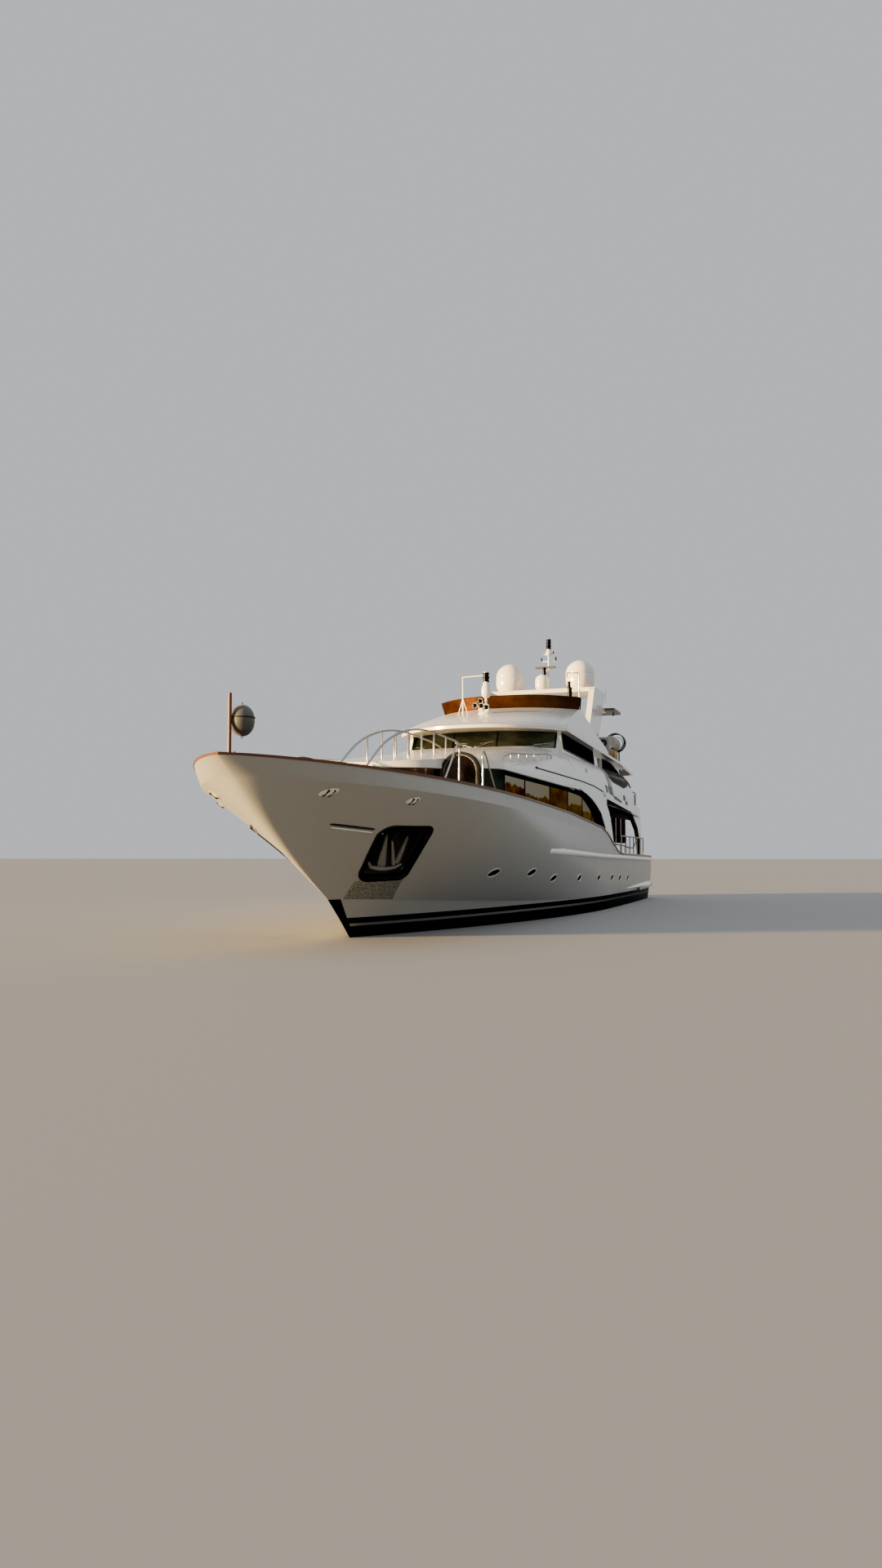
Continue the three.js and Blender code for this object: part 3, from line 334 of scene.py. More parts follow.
def varnish():
    """Reddish wood under a clear coat, with long grain and darker bands."""
    material, put, place = start("varnish", Coat_Roughness=0.10, Coat_Weight=0.15, Specular_IOR_Level=0.15)
    grain = cloud(place, 9, (0.5, 9, 9), 7, 0.62)
    band = cloud(place, 1.4, (0.6, 5, 5), 3)
    wood = grain.mix(colour(0.165, 0.052, 0.013), colour(0.050, 0.016, 0.005))
    put("Base Color", (band * 0.5).mix(wood, colour(0.09, 0.028, 0.008)))
    put("Roughness", grain * 0.15 + 0.28)
    put("Normal", relief(grain, 0.002, 0.3))
    return material


teak = laid_teak()
varnished = varnish()
print("teak in strakes of", STRAKE, "m")

# %% [markdown]
# # Glass
#
# All the glass is tinted and mirror-coated against the sun: almost black with a green cast at the wheelhouse, brown at
# the saloon, and amber acrylic on the flying bridge. True transparency would show hollow rooms. Each pane is instead a
# dark, tinted mirror: metallic, with a deep base colour, and an edge tint that keeps it dark at a slant. Paler patches
# in the base colour are painted reflections. On the saloon's panes a pale painted reflection of the sky lies above a
# soft lower edge, set at a different height in each, and in one pane there is none.
# %% Tinted panes
def pane(name, deep, reflection_tone, edge, gloss=0.06, sky_bands=()):
    """A dark tinted mirror whose base colour mixes in paler patches of painted reflection. Sky bands are pairs: a fore
    end x and, aft of it, the height of the soft lower edge of a pale painted sky reflection.
    """
    deep, reflection_tone, edge = colour(*deep), colour(*reflection_tone), colour(*edge)
    material, put, place = start(name, Metallic=1.0, Specular_Tint=edge)
    x, _, z = axes(place)
    # The paler tone that this noise mixes in is painted reflection.
    reflection_patches = cloud(place, 0.9, (1, 1, 2.2), 5, 0.62).rise(0.36, 0.66)
    behind = reflection_patches.mix(deep, reflection_tone)
    # A pale colour above a soft lower edge is a painted reflection of the sky.
    if sky_bands:
        sky_edge = cloud(place, 1.1, (1, 1, 0), 4, 0.6) * 0.55 - 0.28
        before = 0
        for fore_end, height in sky_bands:
            sky_edge = sky_edge + (x < fore_end) * (height - before)
            before = height
        behind = (z - sky_edge).rise(-0.02, 0.07).mix(behind, colour(0.48, 0.51, 0.52))
    put("Base Color", behind)
    put("Roughness", cloud(place, 6, detail=3).rise(0.3, 0.9) * 0.05 + gloss)
    put("Normal", relief(cloud(place, 0.7, detail=1), 0.003, 1.0))
    return material


PAINTED_SKY_BANDS = [(20, 4.20), (6.84, 4.06), (3.54, 5.2), (0.80, 4.02), (-1.75, 3.86), (-3.6, 5.2)]
green_glass = pane("green_glass", (0.004, 0.006, 0.004), (0.018, 0.023, 0.014), (0.04, 0.05, 0.035))
screen_glass = pane("windscreen_glass", (0.028, 0.034, 0.022), (0.095, 0.108, 0.070), (0.12, 0.13, 0.095), 0.10)
brown_glass = pane("brown_glass", (0.045, 0.034, 0.014), (0.20, 0.15, 0.065), (0.36, 0.28, 0.16), sky_bands=PAINTED_SKY_BANDS)
dark_brown = pane("dark_brown_glass", (0.010, 0.007, 0.005), (0.050, 0.026, 0.013), (0.12, 0.08, 0.05))
amber = pane("amber_acrylic", (0.045, 0.016, 0.006), (0.095, 0.036, 0.011), (0.20, 0.09, 0.04), 0.45)
black_paint = pane("black_paint", (0.006, 0.0065, 0.007), (0.016, 0.017, 0.018), (0.05, 0.05, 0.05), 0.20)
# Most panes carry the pale painted sky reflection above its lower edge; panes whose edge lies above the glass have
# none.
print("blinds over", len(PAINTED_SKY_BANDS), "panes, most of them lowered")

# %% [markdown]
# # Metals
#
# Rails and fairleads are mirror-polished steel with fine scratches and tea
# stains near the sea. The scuff plates under the anchors are brushed and dull,
# with marks that run down from the chain. Propellers are bronze, browned by the
# water. One function with a few choices makes every steel, so that all of them
# weather alike.
# %% Steel and bronze
def steel(name="polished_steel", base=(0.50, 0.49, 0.47), gloss=0.14, brush=(6, 6, 6), stain=0.25,
          metal=1.0, worn=0.82):
    """Steel with scratches along one axis and faint brown stains. A cast skin is less of a mirror: metal below 1."""
    material, put, place = start(name, Metallic=metal, Specular_Tint=colour(0.45, 0.44, 0.42))
    scratch = cloud(place, 12, brush, 5, 0.7)
    tea = cloud(place, 2.3, (1, 1, 0.5), 6, 0.65).rise(0.52, 0.8)
    clean = scratch.rise(0.35, 0.65).mix(colour(*base), colour(*[c * worn for c in base]))
    put("Base Color", (tea * stain).mix(clean, colour(0.34, 0.29, 0.21)))
    put("Roughness", scratch * 0.16 + tea * 0.25 * stain + gloss)
    put("Normal", relief(scratch, 0.0004, 0.4))
    return material


def bronze():
    """Cast bronze, brown in patches and green at its edges."""
    material, put, place = start("bronze", Metallic=1.0)
    patch = cloud(place, 5, detail=6).rise(0.35, 0.75)
    put("Base Color", patch.mix(colour(0.55, 0.36, 0.14), colour(0.22, 0.15, 0.08)))
    put("Roughness", patch * 0.3 + 0.25)
    put("Normal", relief(cloud(place, 40, detail=3), 0.002, 0.3))
    return material


bright_steel = steel()
cast_steel = steel("cast_steel", (0.86, 0.84, 0.78), 0.16, stain=0.1, metal=0.55)
# Near black: the pocket's polished liner darkened as painted shade in the recess.
pocket_steel_in_painted_shade = steel("pocket_steel_in_painted_shade", (0.022, 0.023, 0.020), 0.30, (5, 5, 1.2), 0.1, worn=0.5)
scuff_steel = steel("scuff_steel", (0.40, 0.40, 0.33), 0.38, (1.6, 1.6, 0.07), 0.3, metal=0.6, worn=0.25)
anchor_steel = steel("anchor_steel", (0.30, 0.30, 0.27), 0.38, metal=0.3, worn=0.6)
prop_bronze = bronze()
print("metals:", [metal.name for metal in (bright_steel, cast_steel, pocket_steel_in_painted_shade, scuff_steel, anchor_steel)])

# %% [markdown]
# # Rubber, vinyl and panels
#
# Black parts are rubber, paint or vinyl and differ mostly in their gloss. Each is
# a dark coat with fine grain, paler where hands and weather have worn it.
# %% Blacks and greys
def dull(name, base, rough, grain=60, bump=0.001, sheen=0.0, shine=0.5):
    """A black or grey coat with fine grain and uneven gloss."""
    material, put, place = start(name, Sheen_Weight=sheen, Specular_IOR_Level=shine)
    speck = cloud(place, grain, detail=4)
    worn = cloud(place, 2.5, detail=5).rise(0.45, 0.8)
    light = colour(*[min(1, c * 1.8 + 0.012) for c in base])
    put("Base Color", (worn * 0.5 + speck * 0.2).mix(colour(*base), light))
    put("Roughness", speck * 0.12 + worn * 0.1 + rough)
    put("Normal", relief(speck, bump, 0.4))
    return material


rubber = dull("black_rubber", (0.006, 0.006, 0.006), 0.45, shine=0.12)
vinyl = dull("black_vinyl", (0.042, 0.043, 0.037), 0.40, 25, 0.002, 0.15)
# Near black: dark ceiling panels, darkened further as painted shade under the decks.
ceiling_and_shade = dull("ceiling_panel_and_shade", (0.045, 0.040, 0.034), 0.50, 8, 0.002)
grey_cover = dull("grey_cover", (0.20, 0.20, 0.19), 0.60, 30, 0.004, 0.2)
print("coats:", [coat.name for coat in (rubber, vinyl, ceiling_and_shade, grey_cover)])

# %% [markdown]
# # Slats and a painted door
#
# Two finishes draw a shape. The air intakes are closed with slats, too fine and
# too regular to model, so a triangle wave in height gives their colour and their
# bump. The wheelhouse doors are white with a window let in: limits in x and z make
# its mask, which also sets gloss and metal.
# %% Louvres and doors
SLAT_STEP = 0.045
DOOR_WINDOW_X, DOOR_WINDOW_Z = -7.70, 5.93


def louvre_finish():
    """Dark grey slats: a triangle wave in z gives the colour and the bump."""
    material, put, place = start("louvres", Specular_IOR_Level=0.2)
    _, _, z = axes(place)
    slat = z.math("PINGPONG", z / SLAT_STEP, 0.5) * 2
    grime = cloud(place, 3, detail=4)
    face = grime.mix(colour(0.16, 0.16, 0.155), colour(0.10, 0.10, 0.095))
    put("Base Color", slat.rise(0.25, 0.6).mix(colour(0.012, 0.012, 0.012), face))
    put("Roughness", grime * 0.2 + 0.35)
    put("Normal", relief(slat, 0.012, 0.6))
    return material


def door_finish():
    """White paint with a dark window: a mask made of limits in x and z, with a rubber edge."""
    material, put, place = start("door_with_window", Specular_Tint=colour(0.3, 0.3, 0.3))
    x, _, z = axes(place)
    across, up = x - DOOR_WINDOW_X, z - DOOR_WINDOW_Z
    reach = across.math("MAXIMUM", across.math("ABSOLUTE", across) - 0.34, up.math("ABSOLUTE", up) - 0.56)
    glass, seal = reach.rise(0.004, -0.004), reach.rise(0.034, 0.026)
    streaks = cloud(place, 1.2, (2, 2, 0.3), 4).rise(0.5, 0.85)
    white = (streaks * 0.25).mix(WHITE, colour(0.64, 0.62, 0.56))
    tint = cloud(place, 1.5, detail=3).mix(colour(0.004, 0.005, 0.004), colour(0.012, 0.014, 0.010))
    put("Base Color", seal.mix(white, glass.mix(colour(0.012, 0.012, 0.012), tint)))
    put("Roughness", 0.26 - glass * 0.18 + streaks * 0.1)
    put("Metallic", seal)
    put("Normal", relief(cloud(place, 1.1, detail=2) - glass * 0.5, 0.003, 0.8))
    return material


louvres = louvre_finish()
window_door = door_finish()
print(len(bpy.data.materials), "finishes so far")

# %% [markdown]
# # Meshes from whole arrays
#
# Each new piece is a surface: a grid of points from two parameters, or a profile
# carried along a path. Numpy works out all points at once. A shape is no more than
# an array of points and an array of faces, so shapes are easy to mirror and join.
# %% Shapes
def grid(rows, cols, wrap=False):
    """Four-cornered faces between rows of points; wrap also joins the last column to the first."""
    i, j = np.meshgrid(np.arange(rows - 1), np.arange(cols if wrap else cols - 1), indexing="ij")
    here, there = i * cols + j, i * cols + (j + 1) % cols
    return np.stack([here, there, there + cols, here + cols], -1).reshape(-1, 4)


def surface(points, wrap=False):
    """Rows of points as a shape: one list of points and the faces between them."""
    return points.reshape(-1, 3), grid(*points.shape[:2], wrap)


def shut(rings):
    """Rings of points as a bar: each end is drawn in to the middle of its last ring."""
    ends = [np.broadcast_to(rings[k].mean(0), (1, *rings[k].shape)) for k in (0, -1)]
    return surface(np.concatenate([ends[0], rings, ends[1]]), True)


def both_sides(shape):
    """A shape and its mirror image in y, as one shape. The image's faces are turned round."""
    points, faces = shape
    image = points * (1, -1, 1)
    return np.vstack([points, image]), np.vstack([faces, faces[:, ::-1] + len(points)])


def together(*shapes):
    """Several shapes as one."""
    counts = np.cumsum([0] + [len(points) for points, _ in shapes])
    faces = [face + shift for (_, face), shift in zip(shapes, counts)]
    return np.vstack([points for points, _ in shapes]), np.vstack(faces)


print("faces of a grid of 3 by 4 points:", len(grid(3, 4)))


def place_piece(name, mesh, body="yacht", angle=35):
    """Smooths a mesh up to an angle, makes its object and lets it ride on a body."""
    mesh.shade_smooth()
    mesh.set_sharp_from_angle(angle=math.radians(angle))
    piece = add_object(name, mesh)
    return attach(piece, body)


def build(name, shape, material, slot=None, angle=35, closed=True):
    """Makes a piece of the boat from points and faces. Doubled points are merged; closed shapes face outwards."""
    points, faces = shape
    mesh = bpy.data.meshes.new(name)
    mesh.vertices.add(len(points))
    mesh.vertices.foreach_set("co", np.asarray(points, np.float32).ravel())
    mesh.loops.add(faces.size)
    mesh.loops.foreach_set("vertex_index", faces.astype(np.int32).ravel())
    mesh.polygons.add(len(faces))
    mesh.polygons.foreach_set("loop_start", np.arange(0, faces.size, faces.shape[1], dtype=np.int32))
    mesh.update(calc_edges=True)
    mesh.validate()
    form = bmesh.new()
    form.from_mesh(mesh)
    bmesh.ops.remove_doubles(form, verts=form.verts, dist=2e-5)
    if closed:
        bmesh.ops.recalc_face_normals(form, faces=form.faces)
    form.to_mesh(mesh)
    form.free()
    mesh.materials.append(material)
    return place_piece(name, mesh, angle=angle)


def mirrored(name, shapes, material, **options):
    """Several shapes and their mirror images as one piece."""
    return build(name, both_sides(together(*shapes)), material, **options)


# %% [markdown]
# # Tubes, turned shapes and boxes
#
# Rails are tubes, lamps and domes are turned on a lathe, and lockers are soft
# boxes. Each is one formula over two parameters. Those who model by hand start
# from a cylinder or a cube; a formula gives the same shape again for every rail
# and every lamp.
# %% Tubes, turned shapes and boxes
def points_at(x, y, z):
    """Points from three coordinates, each a number or an array."""
    return np.stack(np.broadcast_arrays(x, y, z), -1)


def unit(vectors):
    """Each vector at length one."""
    return vectors / np.linalg.norm(vectors, axis=-1, keepdims=True)


def circle(count):
    """Even angles once round."""
    return np.linspace(0, 2 * np.pi, count, endpoint=False)


def tube(path, radius, beside=(0, 1, 0), sides=10):
    """A round bar: at each path point a circle of that radius, square to the path. Ends are closed."""
    path = np.asarray(path, float)
    radius = np.broadcast_to(np.asarray(radius, float), len(path))
    along = unit(np.gradient(path, axis=0))
    one = unit(np.cross(along, np.asarray(beside, float)))
    two = np.cross(along, one)
    turn = circle(sides)
    rim = one[:, None] * np.cos(turn)[:, None] + two[:, None] * np.sin(turn)[:, None]
    return shut(path[:, None] + rim * radius[:, None, None])


def turned(profile, centre, sides=48, axis=2):
    """A lathe shape: a profile of (radius, height) pairs turned about one axis (0, 1 or 2) through centre."""
    profile = np.asarray(profile, float)
    turn = circle(sides)
    radius, height = profile[:, 0, None], profile[:, 1, None]
    points = points_at(radius * np.cos(turn), radius * np.sin(turn), height)
    return surface(np.roll(points, axis - 2, axis=-1) + centre, True)


def soft_box(centre, half, power=0.25, rows=11, cols=28):
    """A box with round edges: a ball whose sines and cosines are raised to a small power."""
    b, a = np.meshgrid(np.linspace(-np.pi / 2, np.pi / 2, rows), circle(cols), indexing="ij")
    ball = [np.cos(b) * np.sign(np.cos(a)), np.cos(b) * np.sign(np.sin(a)), np.sign(np.sin(b))]
    size = [np.abs(np.cos(b) * np.cos(a)), np.abs(np.cos(b) * np.sin(a)), np.abs(np.sin(b))]
    flat = [np.sign(part) * width**power for part, width in zip(ball, size)]
    return surface(np.stack(flat, -1) * half + np.asarray(centre), True)


def post(x, y, low, high, radius):
    """An upright bar."""
    return tube([(x, y, low), (x, y, high)], radius, (1, 0, 0))


print("points of a straight tube:", len(tube([(0, 0, 0), (0, 0, 1)], 0.1)[0]))

# %% [markdown]
# # Mouldings and sheets
#
# A moulding is one profile carried along a path. The path brings two directions
# of its own, out from the surface and aside along it, so that the profile never
# twists. Panes of glass are sheets that stand on a path seen from above.
# %% Mouldings and sheets
def loop_frame(centre, out):
    """A closed path with its out direction and the direction aside, square to the way along."""
    along = unit(np.roll(centre, -1, 0) - np.roll(centre, 1, 0))
    return centre, out, np.cross(along, out)


def carried(centre, out, aside, profile, closed_path=True):
    """A profile of (aside, out) pairs carried along a path with its own out and aside. Open ends are shut."""
    profile = np.asarray(profile, float)
    points = centre[:, None] + aside[:, None] * profile[None, :, :1] + out[:, None] * profile[None, :, 1:]
    return surface(np.concatenate([points, points[:1]]), True) if closed_path else shut(points)


def sheet(x, y, low, high, rows=8):
    """An upright sheet over a path seen from above, between a low and a high edge."""
    x, y, low, high = [np.asarray(part, float)[:, None] for part in np.broadcast_arrays(x, y, low, high)]
    share = np.linspace(0, 1, rows)
    return surface(points_at(x, y, low * (1 - share) + high * share))


print("points of a sheet over 2 places:", len(sheet([0, 1], 0, 0, 1)[0]))

# %% [markdown]
# # Paths
#
# A few corner points fix a bent line. Equal steps along it keep faces even, and
# where a bar is bent softly a cubic between each two corners rounds the way.
# %% Even and soft paths
def evenly(corners, count):
    """Points at equal steps along a bent line."""
    corners = np.asarray(corners, float)
    steps = np.r_[0, np.cumsum(np.linalg.norm(np.diff(corners, axis=0), axis=1))]
    at = np.linspace(0, steps[-1], count)
    return np.stack([np.interp(at, steps, part) for part in corners.T], -1)


def smooth_path(corners, count=60):
    """A soft curve through corner points: a cubic between each two, with slopes from their neighbours."""
    corners = np.asarray(corners, float)
    knots = np.r_[0, np.cumsum(np.linalg.norm(np.diff(corners, axis=0), axis=1))]
    slopes = np.gradient(corners, knots, axis=0)
    at = np.linspace(0, knots[-1], count)
    k = np.clip(np.searchsorted(knots, at) - 1, 0, len(knots) - 2)
    gap = (knots[k + 1] - knots[k])[:, None]
    t = (at - knots[k])[:, None] / gap
    return ((2 * t**3 - 3 * t**2 + 1) * corners[k] + (t**3 - 2 * t**2 + t) * gap * slopes[k]
            + (3 * t**2 - 2 * t**3) * corners[k + 1] + (t**3 - t**2) * gap * slopes[k + 1])


def between(low, high, laid, count=40, rows=14):
    """A sheet between two bent lines of (x, z) pairs, which the function laid turns into points."""
    t = np.linspace(0, 1, rows)[None, :, None]
    flat = evenly(low, count)[:, None] * (1 - t) + evenly(high, count)[:, None] * t
    return surface(laid(flat[..., 0], flat[..., 1]))


print("middle of a bent line:", evenly([(0, 0), (1, 0), (1, 1)], 3)[1])

# %% [markdown]
# # The hull as a formula
#
# A naval architect draws a hull as a few long lines from transom to stem: keel,
# bilge, waterline, chine, knuckle, deck edge. Each line here has a half breadth
# and a height for every x. Between the lines the side is filled with parabolas,
# so the flare is round and only chine and knuckle stay sharp. The same formula
# then places every fitting on the side.
# %% Hull lines
STERN = -19.05
STEM = np.array([10.6, 11.1, 11.6, 12.1, 12.8, 13.5, 16.2, 18.35, 19.05])
HALF = np.array([0.09, 1.2, 3.05, 3.6, 3.68, 3.72, 3.79, 3.82, 3.83])
AFT_SHARE = np.array([1, 1, 0.96, 0.93, 0.93, 0.93, 0.93, 0.93, 0.93])
TAPER = np.array([6, -3, -5, -6, -6.1, -6.2, 2.4, 3.5, 4.2])
FULL = np.array([2, 1.8, 1.8, 1.9, 1.88, 1.86, 2.16, 3.74, 2.96])
BLUNT = np.array([1, 1, 1, 1.02, 1.03, 1.04, 1.03, 1.35, 1.37])
NOSE = np.array([0, 0, 0, 0, 0, 0, 0.16, 0.22, 0])
BANDS = [(0, 1), (1, 3), (3, 5), (5, 7), (7, 8)]


def growth(x, start_x, end_x, power):
    """0 before start_x, then the share of the way to end_x, raised to a power."""
    return np.maximum(0, (x - start_x) / (end_x - start_x)) ** power


def cap_z(x):
    """Height of the cap rail: a long sheer forward, level amidships, and an S down to the aft deck."""
    ahead = 3.68 + 0.034 * (x - 2) + 3e-4 * (x - 2) ** 2
    middle = 3.68 - 0.062 * (2 - x)
    t = np.clip((-3.6 - x) / 4.8, 0, 1)
    behind = 3.333 - 1.033 * (3 * t**2 - 2 * t**3) - 0.009 * np.maximum(0, -8.4 - x)
    return np.where(x >= 2, ahead, np.where(x >= -3.6, middle, behind))


def line_points(u):
    """All nine lines at a share u: half breadth is a power curve at the bow, rounded at the stem by a parabola."""
    x = STERN + np.asarray(u, float)[..., None] * (STEM - STERN)
    t = np.clip((x - TAPER) / (STEM - TAPER), 0, 1)
    stern = 1 - (1 - AFT_SHARE) * growth(x, -8, STERN, 2)
    y = HALF * stern * np.maximum(0, 1 - t**FULL) ** (1 / BLUNT)
    back = np.maximum(STEM - x, 0)
    y = np.sqrt(y**2 + 2 * NOSE * back * np.exp(-back / 0.8))
    run = growth(x, -8, STERN, 1.5)
    chine = 0.6 + 0.46 * growth(x, -3, 13.5, 1.5)
    knuckle = cap_z(x) - np.minimum(0.43, 0.2 * (cap_z(x) - chine))
    z = np.stack([
        (-2.1 + 1.1 * growth(x, 2, 10.6, 2.2) + 1.15 * run)[..., 0],
        (-1.75 + 1.1 * growth(x, 2, 11.1, 2.2) + 0.95 * run)[..., 1],
        (-1.0 + 0.65 * growth(x, 2, 11.6, 2.2) + 0.4 * run)[..., 2],
        0 * x[..., 3], 0 * x[..., 4] + 0.55, chine[..., 5],
        (0.5 * (chine + knuckle))[..., 6], knuckle[..., 7], cap_z(x[..., 8]) - 0.06], -1)
    return np.stack([x, y, z], -1)


print("height of the cap rail at the bow and aft:", cap_z(np.array([19.05, -19.05])).round(2))

# %% [markdown]
# # The side between the lines
#
# A place on the side has a share u of the length and a line number v. Blending
# the lines gives its point; the other way round, a place known by x and height is
# found by halving, and two slopes give the direction that looks out from it.
# %% Any place on the side
def shares(v):
    """How much each line counts at v, 0 at the keel to 8 at the cap: straight over one band, a parabola over two."""
    v = np.asarray(v, float)
    share = np.zeros(v.shape + (9,))
    for low, high in BANDS:
        t = (v - low) / (high - low)
        parts = [1 - t, t] if high - low == 1 else [(2 * t - 1) * (t - 1), 4 * t * (1 - t), t * (2 * t - 1)]
        for k, part in enumerate(parts):
            share[..., low + k] = np.where((v >= low) & (v <= high), part, share[..., low + k])
    return share


def side_y(x, z):
    """Half breadth of the port side at any x and height, found by halving the range of v."""
    x, z = np.broadcast_arrays(np.asarray(x, float), np.asarray(z, float))
    low, high = np.zeros(x.shape), np.full(x.shape, 8.0)
    for _ in range(26):
        v = (low + high) / 2
        share = shares(v)
        u = np.clip((x - STERN) / (share @ STEM - STERN), 0, 1)
        point = (share[..., None] * line_points(u)).sum(-2)
        low, high = np.where(point[..., 2] < z, v, low), np.where(point[..., 2] < z, high, v)
    return point[..., 1]


def side_frame(x, z, reach=0.05):
    """Point on the port side and its outward normal, from the slopes of the half breadth."""
    y = side_y(x, z)
    slope_x = (side_y(x + reach, z) - side_y(x - reach, z)) / (2 * reach)
    slope_z = (side_y(x, z + reach) - side_y(x, z - reach)) / (2 * reach)
    return points_at(x, y, z), unit(points_at(-slope_x, 1, -slope_z))


print("half breadth at the pocket:", side_y(12.9, 2.23).round(3))

# %% [markdown]
# # The pocket's own frame
#
# The anchor lies in a leaning recess in the flare. Its outline is drawn flat, in
# a frame that stands on the side: a runs forward, b up and c straight out. The
# solid model cuts the recess with this same frame, so the trim around it fits.
# %% Pocket frame and outline
POCKET = {"x": 12.9, "z": 2.23, "half_width": 0.875, "half_height": 1.03, "lean": 0.17}
POCKET_RADII = np.array([0.32, 0.20, 0.52, 0.32])
POCKET_AT, OUT = side_frame(POCKET["x"], POCKET["z"], 0.2)
AHEAD = unit(np.array([OUT[1], -OUT[0], 0]))
UP = np.cross(AHEAD, OUT)


def pocket_gap(points):
    """Distance of points to the pocket's outline in its flat frame: negative inside. Corners are round."""
    local = points - POCKET_AT
    b = local @ UP
    a = local @ AHEAD - POCKET["lean"] * b / POCKET["half_height"]
    corner = np.where(a < 0, np.where(b > 0, 0, 1), np.where(b > 0, 3, 2))
    r = POCKET_RADII[corner]
    reach = np.stack([np.abs(a) - POCKET["half_width"] + r, np.abs(b) - POCKET["half_height"] + r])
    return np.linalg.norm(np.maximum(reach, 0), axis=0) + np.minimum(reach.max(0), 0) - r


def pocket_outline(count=24):
    """Four arcs with straight runs between them, at even steps, as (a, b) pairs."""
    w, h, lean = POCKET["half_width"], POCKET["half_height"], POCKET["lean"]
    corners = np.array([[lean - w, h], [-lean - w, -h], [w - lean, -h], [w + lean, h]])
    turn = np.radians(np.array([90, 180, 270, 0])[:, None] + np.linspace(0, 90, count))
    r = POCKET_RADII[:, None]
    a = corners[:, :1] - np.sign(corners[:, :1]) * r + r * np.cos(turn)
    b = corners[:, 1:] - np.sign(corners[:, 1:]) * r + r * np.sin(turn)
    outline = np.stack([a, b], -1).reshape(-1, 2)
    return evenly(np.vstack([outline, outline[:1]]), 8 * count + 1)[:-1]


def onto_side(points, direction):
    """Moves points along one direction until they lie on the port side, by repeated small corrections."""
    for _ in range(8):
        miss = side_y(points[..., 0], points[..., 2]) - points[..., 1]
        points = points + (miss * direction[1])[..., None] * direction
    return points


print("pocket frame out:", OUT.round(3))

# %% [markdown]
# # Hull skin
#
# The solid hull is made of flat triangles, which would show as facets in the
# gloss. A fine skin takes its place outside: one grid from port cap to starboard
# cap, with more stations around the anchor pockets, where its faces are left out.
# What is not skin, such as the inside of the bulwarks, the recesses and the
# transom, is a merged copy of the solid without its outer faces.
# %% Hull skin
def hull_skin():
    """Grid over share of length and line number, mirrored across the keel, open at the pockets."""
    s = np.linspace(0, 1, 210)
    even = 0.35 * s + 0.65 * np.sin(s * np.pi / 2)
    u = np.unique(np.r_[even, np.linspace(0.78, 0.91, 110), 1 - 0.03 * np.linspace(0, 1, 26) ** 2])
    v = np.r_[np.linspace(8, 7, 6)[:-1], np.linspace(7, 5, 64)[:-1], np.linspace(5, 3, 9)[:-1],
              np.linspace(3, 1, 9)[:-1], 1, 0.5, 0]
    half = (shares(v)[None, :, :, None] * line_points(u)[:, None]).sum(2)
    whole = np.concatenate([half, half[:, ::-1] * (1, -1, 1)], 1)
    faces = grid(whole.shape[0], whole.shape[1])
    points = whole.reshape(-1, 3)
    middle = points[faces].mean(1)
    middle[:, 1] = np.abs(middle[:, 1])
    hole = (pocket_gap(middle) < -0.01) & (np.abs((middle - POCKET_AT) @ OUT) < 0.5)
    return points, faces[~hole][:, ::-1]


def merged_copy(node):
    """The triangles of a solid part with shared corners, as a bmesh."""
    form = bmesh.new()
    form.from_mesh(nodes[node].data)
    bmesh.ops.remove_doubles(form, verts=form.verts, dist=1e-4)
    return form


skin = build("hull_skin", hull_skin(), shaded_hull_paint, angle=14, closed=False)
print("skin faces:", len(skin.data.polygons))

# %% [markdown]
# # What the skin leaves open
#
# Bulwarks, recesses and transom stay flat and sharp, so the solid serves as it is once its outer faces are gone. A face
# goes when its middle lies on the formula's side and it looks outwards; the faces of the pockets are kept and turn to
# steel, near black as painted shade in the recess.
# %% Inside of the hull
def hull_inside():
    """A copy of the solid hull without the faces whose middle lies on the skin and that look outwards."""
    form = merged_copy("hull")
    form.faces.ensure_lookup_table()
    middle = np.array([face.calc_center_median() for face in form.faces])
    look = np.array([face.normal for face in form.faces])
    mirror = np.where(middle[:, 1] < 0, -1.0, 1.0)
    flat = middle * points_at(1.0, mirror, 1.0)
    y = side_y(flat[:, 0], np.maximum(flat[:, 2], -2.05))
    outward = look[:, 1] * mirror
    on_skin = (np.abs(y - flat[:, 1]) < 0.10) & (outward > 0.12) & (flat[:, 0] > STERN + 0.02)
    bottom = (look[:, 2] < -0.5) & (np.abs(y - flat[:, 1]) < 0.35) & (flat[:, 2] < -0.3)
    in_pocket = (pocket_gap(flat) < 0.02) & (np.abs((flat - POCKET_AT) @ OUT) < 0.6)
    gone = (on_skin | bottom) & ~(in_pocket & (outward < 0.35))
    mesh = bpy.data.meshes.new("hull_inside")
    for face, steel_here in zip(form.faces, in_pocket):
        face.material_index = int(steel_here)
    bmesh.ops.delete(form, geom=[f for f, out in zip(form.faces, gone) if out], context="FACES")
    form.to_mesh(mesh)
    form.free()
    mesh.materials.append(shaded_hull_paint)
    mesh.materials.append(pocket_steel_in_painted_shade)
    print("kept", len(mesh.polygons), "inner faces, dropped", int(gone.sum()))
    return place_piece("hull_inside", mesh, angle=30)


inside = hull_inside()
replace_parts(skin, "hull")
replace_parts(inside, "hull")


def smoothed(node, material, body="yacht", angle=28, swell=0.0):
    """A merged copy that stands for a solid part, smooth up to an angle. Swell moves it out along its normals."""
    form = merged_copy(node)
    for corner in form.verts:
        corner.co += corner.normal * swell
    bmesh.ops.dissolve_limit(form, angle_limit=math.radians(0.4), verts=form.verts, edges=form.edges)
    mesh = bpy.data.meshes.new(node + "_smooth")
    form.to_mesh(mesh)
    form.free()
    mesh.materials.append(material)
    piece = place_piece(mesh.name, mesh, body, angle)
    even = piece.modifiers.new("even_light", "WEIGHTED_NORMAL")
    even.keep_sharp = True
    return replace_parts(piece, node)


